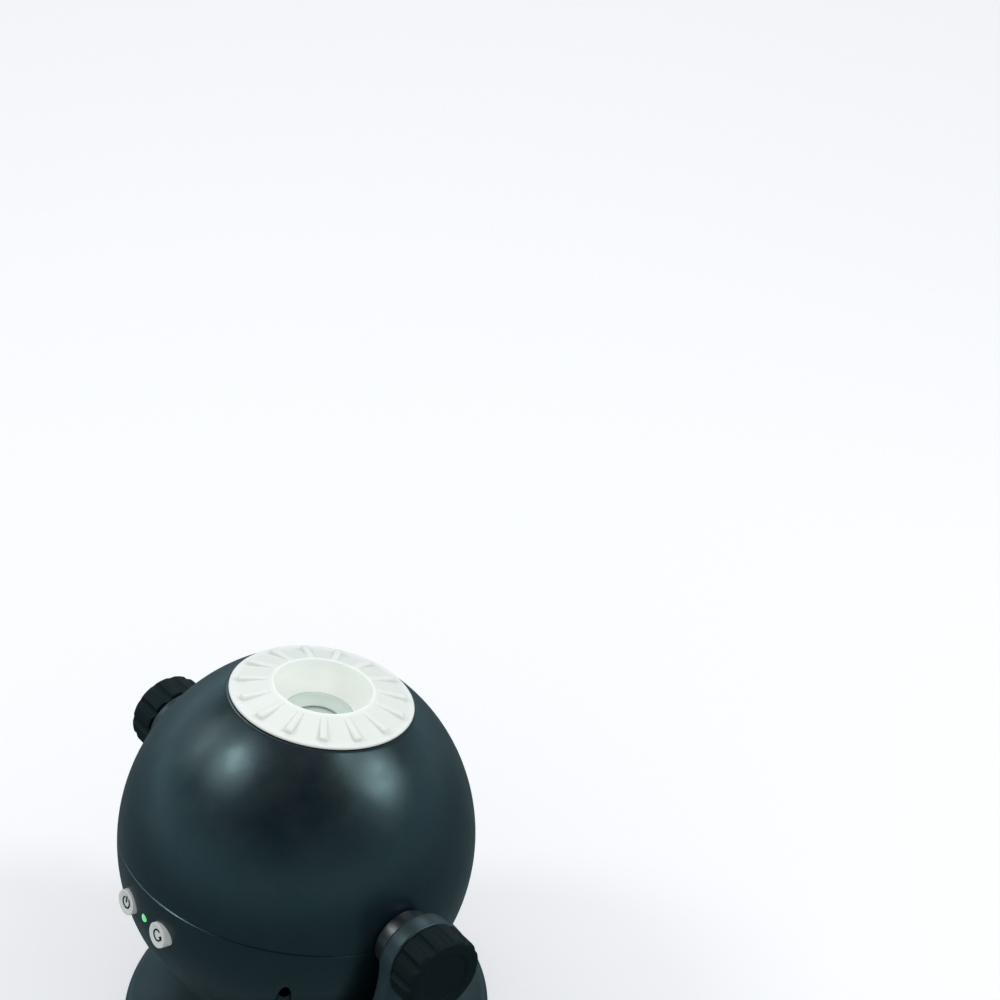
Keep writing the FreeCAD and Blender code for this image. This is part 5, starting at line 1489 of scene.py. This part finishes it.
@dataclass
class LensGroup(SubAssembly):
    """The front lens and the ring that holds it, which is dished down to an eye over the lens and finished in a
    greyer white as painted shade.
    """

    dome_rise: float = 0.0024
    dome_gap: float = 0.0001
    dome_steps: int = 24
    seat: float = 0.0014
    foot: float = 0.0016
    nose_reach: float = 0.0141
    nose_wall: float = 0.0008
    nose_shelf: float = 0.0006
    eye_reach: float = 0.0100
    eye_edge: float = 0.0007
    eye_curve: float = 0.0060
    eye_steps: int = 20
    edge: float = 0.0003
    segments: int = 160

    def build(self) -> None:
        """Makes the lens and its retaining ring."""
        lens = Extent.of("front_lens", HEAD)
        rim, low, top = lens.reach, lens.low.z, lens.top.z
        edge = top - self.dome_rise
        clear = rim - self.seat - self.dome_gap
        radius = (clear**2 + self.dome_rise**2) / (2 * self.dome_rise)
        half = math.degrees(math.asin(clear / radius))
        dome = arc((0, top - radius), radius, 90 - half, 90, self.dome_steps)
        outline = [(0, low), (rim, low), (rim, edge), *dome[:-1], (0, top)]
        glass = new_piece("front_lens_glass", lathe(outline, self.segments, closed=False), HEAD)
        # the front lens is finished with a painted glow
        self.add(shade(glass), "lens_barrel", "lens_glass", "front_lens", finish="painted_glow_lens")
        ring = Extent.of("lens_retaining_ring", HEAD)
        foot_top = ring.low.z + self.foot
        nose_bore = self.nose_reach - self.nose_wall
        eye = (self.eye_reach, foot_top + self.eye_edge)
        dish = bow((nose_bore, ring.top.z), eye, -self.eye_curve, self.eye_steps)
        outside = soften([
            (ring.reach - self.seat, ring.low.z),
            (ring.reach, ring.low.z, self.edge),
            (ring.reach, foot_top, self.edge),
            (self.nose_reach, foot_top, self.edge),
            (self.nose_reach, ring.top.z, self.edge),
            dish[0],
        ], steps=5, closed=False)
        inside = soften([
            dish[-2],
            (*dish[-1], self.edge),
            (self.eye_reach, foot_top, self.edge),
            (ring.reach - self.seat, foot_top - self.nose_shelf),
        ], steps=5, closed=False)
        outline = outside + dish[1:-2] + inside
        retainer = new_piece("retaining_ring", lathe(outline, self.segments), HEAD)
        # the retaining ring gets the greyer white, painted shade at the bottom of the bowl
        self.add(shade(retainer), "lens_barrel", "ring_plastic", "lens_retaining_ring", finish="eye_plastic_painted_shade")


@dataclass
class TiltKnobs(SubAssembly):
    """The fluted knobs that clamp the head between the arms."""

    radius: float = 0.0175
    rounding: float = 0.00468
    foot_rounding: float = 0.0010
    dish: float = 0.0008
    dish_reach: float = 0.0118
    dish_slope: float = 0.0012
    dish_rounding: float = 0.0008
    flutes: int = 12
    flute_radius: float = 0.0030
    flute_offset: float = 0.00165
    bore: float = 0.0055
    stud_room: float = 0.0093
    row: float = 0.0012
    segments: int = 288

    def build(self) -> None:
        """Makes a knob for each side."""
        flutes = flute_tree()
        for side in Side:
            extent = Extent.of(f"knob_{side.word}", HEAD)
            start = min(abs(extent.low.x), abs(extent.top.x))
            end = max(abs(extent.low.x), abs(extent.top.x))
            outline = soften([
                (self.bore, start),
                (self.radius, start, self.foot_rounding),
                (self.radius, end, self.rounding),
                (self.dish_reach, end, self.dish_rounding),
                (self.dish_reach - self.dish_slope, end - self.dish, self.dish_rounding),
                (0, end - self.dish),
                (0, start + self.stud_room),
                (self.bore, start + self.stud_room),
            ], steps=9, closed=False)
            rows = self.with_rows([*outline, (self.bore, start)])
            knob = new_piece(f"knob_{side.word}_grip", lathe(rows[:-1], self.segments))
            flutes.run(knob, MATERIALS["knob_rubber"], Count=self.flutes, Flute_Radius=self.flute_radius,
                       Flute_Reach=self.radius + self.flute_offset)
            put(shade(knob, 50), HEAD @ side.along_axis)
            self.add(knob, f"knob_{side.word}", "knob_rubber", f"knob_{side.word}")

    def with_rows(self, outline: list[Point]) -> list[Point]:
        """Adds points to the long runs of an outline, so that the flutes have rows to bend.

        Args:
            outline: the outline's corners.

        Returns:
            The corners with the points between them.
        """
        rows: list[Point] = []
        for near, far in zip(outline, outline[1:]):
            rows.append(near)
            across, up = far[0] - near[0], far[1] - near[1]
            count = int(math.hypot(across, up) / self.row)
            shares = [step / count for step in range(1, count)]
            rows += [(near[0] + across * share, near[1] + up * share) for share in shares]
        return rows + [outline[-1]]


@dataclass
class Stand(SubAssembly):
    """The weighted round base, its rubber feet and the two arms.

    The corner over the rim is given in shares of the shoulder, and the cup in shares of a foot.
    """

    arm_inner: float = 0.0830
    arm_thickness: float = 0.0080
    ear_radius: float = 0.0170
    arm_foot: float = 0.0280
    arm_edge: float = 0.0014
    ear_bore: float = 0.01005
    boss_proud: float = 0.00004
    spot_face: float = 0.0138
    arm_merge: float = 0.00002
    arm_flat: float = 0.3
    rim_height: float = 0.0070
    rim_edge: float = 0.0006
    shoulder: float = 0.0046
    corner_rise: float = 0.75
    corner_rounding: float = 1.1
    plateau: float = 0.0470
    plateau_rounding: float = 0.0035
    slope_radius: float = 0.0600
    base_wall: float = 0.0026
    foot_radius: float = 0.0080
    foot_reach: float = 0.0640
    foot_edge: float = 0.0006
    cup: float = 0.0005
    cup_shares: tuple[float, float] = (0.55, 0.66)
    cup_edge: float = 0.0004
    segments: int = 256

    def __post_init__(self) -> None:
        """Reads the base's reach and heights from the frame."""
        base = Extent.of("base_shell")
        self.reach, self.low, self.top = base.reach, base.low.z, base.top.z

    def build(self) -> None:
        """Makes the base, the feet and the arms."""
        self.build_base()
        self.build_feet()
        for side in Side:
            self.build_arm(side)

    def build_base(self) -> None:
        """The base shell: a rim, a shoulder and a slope that curves up to the plateau."""
        slope_start = (self.reach - self.shoulder, self.rim_height + self.shoulder)
        plateau = (self.plateau, self.top)
        slope = bow(slope_start, plateau, self.slope_radius, 18)[3:]
        wall = self.base_wall
        rise, rounding = self.shoulder * self.corner_rise, self.shoulder * self.corner_rounding
        outline = [
            *soften([
                (self.reach - wall, self.low), (self.reach, self.low, self.rim_edge),
                (self.reach, self.rim_height + rise, rounding), slope[0],
            ], steps=10, closed=False)[:-1],
            *slope[:-1],
            *soften([slope[-2], (*plateau, self.plateau_rounding), (0, self.top)], 8, closed=False)[1:-1],
            (0, self.top), (0, self.top - wall), (self.plateau, self.top - wall),
            (self.reach - self.shoulder - wall, self.rim_height + self.shoulder - 2 * wall),
            (self.reach - wall, self.rim_height - wall),
        ]
        base = new_piece("base_cover", lathe(outline, self.segments))
        self.add(shade(base), "stand", "stand_plastic", "base_shell")

    def build_feet(self) -> None:
        """Four rubber feet with a soft edge and a shallow cup underneath."""
        top, radius = Extent.of("rubber_feet").top.z, self.foot_radius
        floor, rim = (radius * share for share in self.cup_shares)
        outline = soften([
            (0, self.cup), (floor, self.cup, self.cup_edge), (rim, 0, self.cup_edge),
            (radius, 0, self.foot_edge), (radius, top), (0, top),
        ], steps=4, closed=False)
        foot = lathe(outline, 64, closed=False)
        bmesh.ops.translate(foot, vec=(self.foot_reach, 0, 0), verts=foot.verts)
        feet = new_piece("foot_pads", foot)
        round_repeat_tree().run(feet, MATERIALS["foot_rubber"], Count=4, First_Turn=math.radians(45))
        self.add(shade(feet), "stand", "foot_rubber", "rubber_feet")

    def build_arm(self, side: Side) -> None:
        """One arm: a curved band that narrows from the foot up to a round ear.

        The arm is drawn on the right and turned round for the left. The boss stands a hair proud
        of the ear, and gives it an even rounding.

        Args:
            side: where the arm stands.
        """
        outer = self.arm_inner + self.arm_thickness
        height = PIVOT.z
        drop = height - self.top
        foot_turn = -math.degrees(math.asin(drop / outer))
        band = [
            (0, self.top), *arc((0, height), outer, foot_turn, 0, 72), (outer, height + self.ear_radius),
            (self.arm_inner, height + self.ear_radius), *arc((0, height), self.arm_inner, 0, -90, 96),
        ]
        length = 4 * self.arm_foot
        upright = Matrix.Translation((0, length / 2, 0)) @ Matrix.Rotation(math.pi / 2, 4, "X")
        arm = new_piece(f"arm_{side.word}", prism(band, length, upright))
        face = [
            (-self.arm_foot, self.top), (self.arm_foot, self.top),
            *arc((0, height), self.ear_radius, 0, 180, 64),
        ]
        across = Matrix(((0, 0, 1, 0), (1, 0, 0, 0), (0, 1, 0, 0), (0, 0, 0, 1)))
        combine(arm, prism(face, 2 * outer, Matrix.Translation((-outer / 2, 0, 0)) @ across), Work.TRIM)
        shape = bmesh.new()
        shape.from_mesh(arm.data)
        bmesh.ops.remove_doubles(shape, verts=shape.verts, dist=self.arm_merge)
        flat = math.radians(self.arm_flat)
        bmesh.ops.dissolve_limit(shape, angle_limit=flat, verts=shape.verts, edges=shape.edges)
        shape.to_mesh(arm.data)
        shape.free()
        round_edges(arm, self.arm_edge, segments=5, angle=30)
        along = Matrix.Translation((0, 0, height)) @ Side.RIGHT.along_axis
        for radius, stop in ((self.ear_bore, 2 * outer), (self.spot_face, self.arm_inner)):
            combine(arm, moved(rod(radius, 0.0, stop, segments=96), along))
        near, far = self.arm_inner - self.boss_proud, outer + self.boss_proud
        bore, rim, edge = self.ear_bore, self.ear_radius + self.boss_proud, self.arm_edge
        ear = soften([(bore, near), (rim, near, edge), (rim, far, edge), (bore, far)], steps=6)
        boss = new_piece("boss", lathe(ear, 128), along)
        shape = bmesh.new()
        shape.from_mesh(boss.data)
        shape.from_mesh(arm.data)
        bpy.data.objects.remove(boss)
        moved(shape, STAND if side is Side.RIGHT else Matrix.Rotation(math.pi, 4, "Z"))
        shape.to_mesh(arm.data)
        shape.free()
        self.add(shade(arm, 40), "stand", "stand_plastic", f"yoke_arm_{side.word}")


@dataclass
class DiscTray(SubAssembly):
    """The drawer that carries the star disc, with its curved door and grip."""

    housing: Housing
    plate: float = 0.0026
    plate_inset: float = 0.0012
    light_hole: float = 0.0220
    collar_wall: float = 0.0022
    collar_height: float = 0.00598
    grip_half: float = 0.0085
    grip_rounding: float = 0.0020
    grip_thickness: float = 0.0028
    grip_edge: float = 0.0004
    segments: int = 128

    def build(self) -> None:
        """Makes the tray as one piece."""
        tray = Extent.of("disc_tray", HEAD)
        low, wide, end = tray.low.z, 2 * tray.top.x, tray.top.y
        ball, front, height = self.housing.ball_radius, self.housing.tray_front, self.housing.door_height
        plate = new_piece("disc_tray_body", box(
            Vector((wide, front + ball, self.plate)), Vector((0, (ball - front) / 2, low + self.plate / 2))))
        combine(plate, self.housing.whole_egg(self.plate_inset), Work.TRIM)
        door_middle = Vector((0, front + ball / 2, low + height / 2))
        door = new_piece("door", box(Vector((wide, ball, height)), door_middle))
        combine(door, self.housing.whole_egg(), Work.TRIM)
        combine(door, self.housing.whole_egg(self.housing.wall))
        half, rounding = self.grip_half, self.grip_rounding
        outline = soften([(-half, ball / 2), (half, ball / 2), (half, end, rounding), (-half, end, rounding)])
        lift = Matrix.Translation((0, 0, low + (height - self.grip_thickness) / 2))
        grip = new_piece("grip", prism(outline, self.grip_thickness, lift))
        combine(grip, self.housing.whole_egg(self.housing.wall))
        round_edges(grip, self.grip_edge, angle=40)
        rest = low + self.collar_height
        bore, outer = self.light_hole, self.light_hole + self.collar_wall
        collar = lathe([(bore, low), (outer, low), (outer, rest), (bore, rest)], self.segments)
        combine(plate, rod(bore, low - self.plate, rest, segments=self.segments))
        shape = bmesh.new()
        for part in (plate, door, grip):
            shape.from_mesh(part.data)
        bpy.data.objects.remove(door)
        bpy.data.objects.remove(grip)
        ring = bpy.data.meshes.new("collar")
        bmesh.ops.recalc_face_normals(collar, faces=collar.faces)
        collar.to_mesh(ring)
        collar.free()
        shape.from_mesh(ring)
        shape.to_mesh(plate.data)
        shape.free()
        put(shade(plate), HEAD)
        self.add(plate, "disc_tray", "shell_plastic", "disc_tray")


class Sign(Enum):
    """The raised sign on a button."""

    POWER = "power"
    TURN = "turn"


@dataclass
class Buttons(SubAssembly):
    """The two push buttons, each with a dished cap and a raised sign.

    A button is drawn with Z out of the housing, from 0 at the back of its flange. Its dish is
    measured in shares of the cap's radius, and an arrow's head in widths of the sign's line.
    """

    cap_radius: float = 0.0055
    cap_rounding: float = 0.0008
    flange_radius: float = 0.0066
    flange_thickness: float = 0.0012
    flange_edge: float = 0.0002
    stem_radius: float = 0.0020
    cap_length: float = 0.0100
    dish: float = 0.0005
    dish_shares: tuple[float, float] = (0.55, 0.86)
    dish_roundings: tuple[float, float] = (0.0012, 0.0007)
    sign_reach: float = 0.0024
    sign_width: float = 0.00055
    sign_height: float = 0.0003
    tip_half: float = 2.2
    tip_length: float = 3.0
    segments: int = 96

    def build(self) -> None:
        """Makes a cap and a sign for each button."""
        for node, sign in (("power_button", Sign.POWER), ("rotate_button", Sign.TURN)):
            part = Extent.of(node, HEAD)
            middle = (part.low + part.top) / 2
            back = part.low.y + self.cap_length
            turned = Matrix.Rotation(math.pi / 2, 4, "X")
            place = HEAD @ (Matrix.Translation((middle.x, back, middle.z)) @ turned)
            outline = self.outline(part.top.y - back)
            button = new_piece(f"{node}_cap", lathe(outline, self.segments, closed=False), place)
            self.add(shade(button), node, "button_plastic", node)
            mark = new_piece(f"{node}_sign", self.sign(sign, self.cap_length - self.dish), place)
            self.add(shade(mark), node, "knob_rubber")

    def outline(self, stem: float) -> list[Point]:
        """The profile of a button.

        Args:
            stem: how far the stem goes back from the flange.

        Returns:
            The points of the profile.
        """
        cap, length, flange = self.cap_radius, self.cap_length, self.flange_thickness
        floor, rim = (cap * share for share in self.dish_shares)
        floor_rounding, rim_rounding = self.dish_roundings
        return soften([
            (0, length - self.dish), (floor, length - self.dish, floor_rounding), (rim, length, rim_rounding),
            (cap, length, self.cap_rounding), (cap, flange), (self.flange_radius, flange, self.flange_edge),
            (self.flange_radius, 0, self.flange_edge), (self.stem_radius, 0), (self.stem_radius, -stem),
            (0, -stem),
        ], steps=6, closed=False)

    def sign(self, sign: Sign, low: float) -> Shape:
        """A raised sign: an open ring with a bar, or an open ring with an arrow head.

        Args:
            sign: which of the two.
            low: the height at which it starts.

        Returns:
            The sign as a shape.
        """
        first, last = (120, 420) if sign is Sign.POWER else (60, 350)
        reach, half = self.sign_reach, self.sign_width / 2
        outline = arc((0, 0), reach + half, first, last, 40) + arc((0, 0), reach - half, last, first, 40)
        ring = prism(outline, self.sign_height, Matrix.Translation((0, 0, low)))
        if sign is Sign.POWER:
            mark = [(-half, 0), (half, 0), (half, reach + 2 * half), (-half, reach + 2 * half)]
        else:
            turn = math.radians(last)
            tip = Vector((math.cos(turn), math.sin(turn))) * reach
            out = Vector((math.cos(turn), math.sin(turn))) * self.tip_half * self.sign_width
            ahead = Vector((-math.sin(turn), math.cos(turn))) * self.tip_length * self.sign_width
            mark = [tuple(tip - out), tuple(tip + out), tuple(tip + ahead)]
        return join(ring, prism(mark, self.sign_height, Matrix.Translation((0, 0, low))))


@dataclass
class BatteryHatch(SubAssembly):
    """The cover under the head, with a thumb recess and grip ribs."""

    thickness: float = 0.0024
    corner: float = 0.0030
    edge: float = 0.0004
    recess_radius: float = 0.00828
    recess_inset: float = 0.0105
    recess_depth: float = 0.0012
    clearance: float = 0.01
    rib_count: int = 4
    rib_step: float = 0.0030
    rib_half: float = 0.0045
    rib_width: float = 0.0009
    rib_edge: float = 0.0003
    rib_lift: float = 0.0004

    def build(self) -> None:
        """Makes the cover and the ribs in its recess."""
        cover = Extent.of("battery_cover", HEAD)
        half_x, half_y, low = cover.top.x, cover.top.y, cover.low.z
        corners = ((half_x, half_y), (-half_x, half_y), (-half_x, -half_y), (half_x, -half_y))
        outline = soften([(*corner, self.corner) for corner in corners])
        plate = new_piece("hatch_plate", prism(outline, self.thickness, Matrix.Translation((0, 0, low))))
        middle = half_y - self.recess_inset
        start, end = low - self.clearance, low + self.recess_depth
        combine(plate, rod(self.recess_radius, start, end, (0, middle), 96))
        round_edges(plate, self.edge, angle=50)
        put(shade(plate, 45), HEAD)
        self.add(plate, "battery_cover", "shell_plastic", "battery_cover")
        half, width, edge = self.rib_half, self.rib_width, self.rib_edge
        bar = soften([(-half, 0, edge), (-half, width, edge), (half, width, edge), (half, 0, edge)])
        first = Vector((0, middle - self.rib_step * (self.rib_count - 1) / 2, low + self.rib_lift))
        ribs = new_piece("hatch_ribs", prism(bar, width, Matrix.Translation(first)))
        row_tree().run(ribs, MATERIALS["shell_plastic"], Count=self.rib_count, Step=(0.0, self.rib_step, 0.0))
        put(shade(ribs), HEAD)
        self.add(ribs, "battery_cover", "shell_plastic")


@dataclass
class Screws(SubAssembly):
    """Every group of upright screws, made by one tree."""

    groups: dict[str, tuple[Matrix, str, float, float, int]] = field(default_factory=lambda: {
        "shell_screws": (HEAD, "head", 0.0028, 0.0020, -1),
        "chassis_screws": (HEAD, "head", 0.0028, 0.0020, -1),
        "bridge_screws": (HEAD, "head", 0.0028, 0.0020, 1),
        "arm_screws": (STAND, "stand", 0.0028, 0.0020, -1),
        "base_screws": (STAND, "stand", 0.0026, 0.0014, -1),
    })
    shank_radius: float = 0.0015
    spread: float = 2.1

    def build(self) -> None:
        """Puts a screw at the middle of each of a group's solids."""
        tree = screw_tree()
        for node, (place, body, radius, height, facing) in self.groups.items():
            extent = Extent.of(node, place)
            spots = self.spots(node, place, radius)
            seat = extent.top.z - height if facing > 0 else extent.low.z + height
            shape = bmesh.new()
            for spot_x, spot_y in spots:
                shape.verts.new((spot_x, spot_y, seat))
            screws = bpy.data.objects.new(f"{node}_crossed", bpy.data.meshes.new(node))
            bpy.context.scene.collection.objects.link(screws)
            shape.to_mesh(screws.data)
            shape.free()
            tree.run(screws, MATERIALS["screw_steel"], Head_Radius=radius, Head_Height=height,
                     Shank_Radius=self.shank_radius, Shank_Length=extent.top.z - extent.low.z - height,
                     Facing=(0.0, 0.0, float(facing)))
            put(screws, place)
            self.add(shade(screws, 40), body, "screw_steel", node)

    def spots(self, node: str, place: Matrix, radius: float) -> list[Point]:
        """The axes of a node's screws, each the middle of the points that lie close together.

        Args:
            node: the screws' node.
            place: the frame in which they stand upright.
            radius: the radius of their heads.

        Returns:
            Where each screw stands in that frame.
        """
        back = place.inverted()
        seen: list[list[Vector]] = []
        for vertex in frame["nodes"][node].data.vertices:
            spot = back @ vertex.co
            near = [group for group in seen if (group[0] - spot).xy.length < self.spread * radius]
            if near:
                near[0].append(spot)
            else:
                seen.append([spot])
        return [
            ((min(s.x for s in group) + max(s.x for s in group)) / 2,
             (min(s.y for s in group) + max(s.y for s in group)) / 2)
            for group in seen
        ]


@dataclass
class InnerParts(SubAssembly):
    """The nodes that keep their own shape: each gets the finish of its slot."""

    def build(self) -> None:
        """Assigns a finish to every node that no piece stands for."""
        for node, piece in frame["nodes"].items():
            if piece.hide_render:
                continue
            for slot in piece.material_slots:
                slot.material = MATERIALS[SLOT_OF[node]]
            log.info("%s keeps its shape and is finished in %s", node, SLOT_OF[node])


# --------------------------------------
# Studio and camera
# --------------------------------------
@dataclass(frozen=True)
class Softbox:
    """A flat rectangular lamp that looks at the head; angles in degrees, power in watts."""

    name: str
    azimuth: float
    elevation: float
    distance: float
    width: float
    height: float
    power: float
    colour: Colour = WHITE

    def build(self, target: Vector) -> None:
        """Hangs the lamp.

        Args:
            target: what the lamp looks at, from its distance.
        """
        data = bpy.data.lights.new(self.name, "AREA")
        data.shape = "RECTANGLE"
        data.size, data.size_y, data.energy = self.width, self.height, self.power
        data.color = linear(self.colour)[:3]
        lamp = bpy.data.objects.new(self.name, data)
        bpy.context.scene.collection.objects.link(lamp)
        away = direction(self.azimuth, self.elevation)
        lamp.location = target + away * self.distance
        lamp.rotation_mode = "QUATERNION"
        lamp.rotation_quaternion = away.to_track_quat("Z", "Y")


def direction(azimuth: float, elevation: float) -> Vector:
    """The way from the object to a viewer: azimuth 0 is in front, 90 on the right."""
    turn, rise = math.radians(azimuth), math.radians(elevation)
    return Vector((math.sin(turn) * math.cos(rise), -math.cos(turn) * math.cos(rise), math.sin(rise)))


def towards(graph: Graph, way: Socket, azimuth: float, elevation: float) -> Socket:
    """How far a way into the sky points towards a given side: 1 at it, -1 opposite."""
    aim = {0: way, 1: direction(azimuth, elevation)}
    return graph.node("ShaderNodeVectorMath", aim, operation="DOT_PRODUCT").outputs["Value"]


@dataclass
class Studio:
    """A pale floor that runs to a pale sky, and soft lamps.

    What the camera sees of the floor and the sky is near white. What a reflection sees is
    dimmer: a cool grey low down, brighter on one side, and nearly dark overhead, as in a room
    with only the lamps lit. The soft fill comes mostly from the viewer's side.
    """

    floor_size: float = 30.0
    floor_colour: Colour = (196, 197, 199)
    floor_glow: float = 0.42
    floor_reflected: float = 0.20
    far_floor_reflected: float = 0.50
    far_floor: Span = (0.35, 1.60)
    floor_fade: Span = (0.45, 1.70)
    sky_colour: Colour = (243, 244, 246)
    mirrored_colour: Colour = (206, 240, 248)
    fill_azimuth: float = 58.0
    fill_elevation: float = 10.0
    fill_start: float = -0.2
    fill_near: float = 0.96
    fill_far: float = 0.40
    horizon_azimuth: float = -87.0
    horizon_reflected: float = 1.05
    horizon_far_side: float = 0.50
    top_reflected: float = 0.02
    horizon_end: float = 0.55
    lamps: tuple[Softbox, ...] = (
        Softbox("front_lamp", -32.0, 52.0, 1.4, 0.28, 0.34, 4.4),
        Softbox("front_glow", -62.0, 34.0, 1.4, 0.40, 0.50, 1.6),
        Softbox("side_lamp", 136.5, 37.0, 1.4, 0.36, 0.44, 5.6),
        Softbox("side_glow", 139.0, 58.0, 1.4, 0.26, 0.16, 1.5),
        Softbox("back_lamp", 232.0, 42.0, 1.6, 0.70, 0.50, 5.4, (236, 244, 255)),
    )

    def build(self) -> None:
        """Makes the floor, the sky and the lamps."""
        self.build_floor()
        self.build_sky()
        for lamp in self.lamps:
            lamp.build(PIVOT)
        view = bpy.context.scene.view_settings
        view.view_transform = "Standard"

    def build_floor(self) -> None:
        """A wide floor: it takes the shadow, is near white to the camera and fades into the sky."""
        half = self.floor_size / 2
        shape = bmesh.new()
        corners = ((-half, -half, 0), (half, -half, 0), (half, half, 0), (-half, half, 0))
        shape.faces.new([shape.verts.new(corner) for corner in corners])
        floor = new_piece("studio_floor", shape)
        material = bpy.data.materials.new("studio_floor")
        material.use_nodes = True
        material.node_tree.nodes.clear()
        graph = Graph(material.node_tree)
        path = graph.node("ShaderNodeLightPath").outputs
        seen = graph.math("MAXIMUM", path["Is Camera Ray"], path["Is Transmission Ray"])
        matt = graph.node("ShaderNodeBsdfDiffuse", {"Color": linear(self.floor_colour)})
        glow = graph.node("ShaderNodeEmission", {
            "Color": linear(self.sky_colour), "Strength": graph.math("MULTIPLY", seen, self.floor_glow)})
        both = graph.node("ShaderNodeAddShader", {0: matt.outputs[0], 1: glow.outputs[0]})
        spot = graph.spot()
        away = graph.node("ShaderNodeVectorMath", {0: spot}, operation="LENGTH").outputs["Value"]
        sky = graph.node("ShaderNodeEmission", {"Color": linear(self.sky_colour), "Strength": 1.0})
        fade = graph.math("MULTIPLY", seen, graph.spread(away, self.floor_fade))
        faded = graph.node("ShaderNodeMixShader", {0: fade, 1: both.outputs[0], 2: sky.outputs[0]})
        mirrored = graph.spread(away, self.far_floor, self.floor_reflected, self.far_floor_reflected)
        dim = graph.node(
            "ShaderNodeEmission", {"Color": linear(self.mirrored_colour), "Strength": mirrored})
        floor_or_dim = graph.node("ShaderNodeMixShader", {
            0: path["Is Glossy Ray"], 1: faded.outputs[0], 2: dim.outputs[0]})
        graph.node("ShaderNodeOutputMaterial", {"Surface": floor_or_dim.outputs[0]})
        floor.data.materials.append(material)

    def build_sky(self) -> None:
        """A fill from the viewer's side: white where seen, darker upwards where reflected."""
        world = bpy.data.worlds.new("studio_sky")
        bpy.context.scene.world = world
        world.use_nodes = True
        world.node_tree.nodes.clear()
        graph = Graph(world.node_tree)
        path = graph.node("ShaderNodeLightPath").outputs
        seen = graph.math("MAXIMUM", path["Is Camera Ray"], path["Is Transmission Ray"])
        way = graph.node("ShaderNodeTexCoord").outputs["Generated"]
        rise = graph.node("ShaderNodeSeparateXYZ", {0: way}).outputs[2]
        bright_side = towards(graph, way, self.horizon_azimuth, 0.0)
        low_light = graph.spread(bright_side, (-1.0, 1.0), self.horizon_far_side, self.horizon_reflected)
        height = graph.spread(rise, (0.0, self.horizon_end), 1.0, 0.0)
        mirrored = graph.math("MULTIPLY_ADD", height, low_light, self.top_reflected)
        viewer_side = towards(graph, way, self.fill_azimuth, self.fill_elevation)
        fill = graph.spread(viewer_side, (self.fill_start, 1.0), self.fill_far, self.fill_near)
        lit = graph.math("MAXIMUM", seen, fill)
        strength = graph.node(
            "ShaderNodeMix", {0: path["Is Glossy Ray"], 2: lit, 3: mirrored}, data_type="FLOAT")
        tint = graph.tint(path["Is Glossy Ray"], linear(self.sky_colour), linear(self.mirrored_colour))
        sky = graph.node("ShaderNodeBackground", {"Color": tint, "Strength": strength.outputs[0]})
        graph.node("ShaderNodeOutputWorld", {"Surface": sky.outputs[0]})


@dataclass
class Viewpoint:
    """The camera: it looks down on the head, which stands low and to the left in the picture."""

    azimuth: float = 58.2
    elevation: float = 42.38
    distance: float = 1.2
    focal_length: float = 101.7
    sensor: float = 36.0
    aim_right: float = 0.0948
    aim_up: float = 0.1372

    def build(self) -> None:
        """Makes the camera and sets it as the scene's."""
        data = bpy.data.cameras.new("camera")
        data.sensor_width, data.lens = self.sensor, self.focal_length
        camera = bpy.data.objects.new("camera", data)
        bpy.context.scene.collection.objects.link(camera)
        away = direction(self.azimuth, self.elevation)
        right = Vector((0, 0, 1)).cross(away).normalized()
        up = away.cross(right)
        camera.location = PIVOT + away * self.distance
        aim = PIVOT + right * self.aim_right + up * self.aim_up
        camera.rotation_mode = "QUATERNION"
        camera.rotation_quaternion = (camera.location - aim).to_track_quat("Z", "Y")
        bpy.context.scene.camera = camera


def main() -> None:
    """Builds the finishes, the sub-assemblies, the studio and the camera."""
    logging.basicConfig(level=logging.INFO, format="%(message)s")
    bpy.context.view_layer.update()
    EFFECTS.update({
        "moulded_grain": moulded_grain_group(),
        "edge_wear": edge_wear_group(),
        "dust": dust_group(),
        "turning_marks": turning_marks_group(),
    })
    MATERIALS.update({name: finish.material() for name, finish in FINISHES.items()})
    housing = Housing()
    for part in (housing, FocusRing(), LensGroup(), TiltKnobs(), Stand(), DiscTray(housing), Buttons(),
                 BatteryHatch(), Screws(), InnerParts()):
        part.build()
        log.info("%s is built, new pieces: %d", type(part).__name__, len(part.pieces))
    Studio().build()
    Viewpoint().build()


if __name__ == "__main__":
    main()
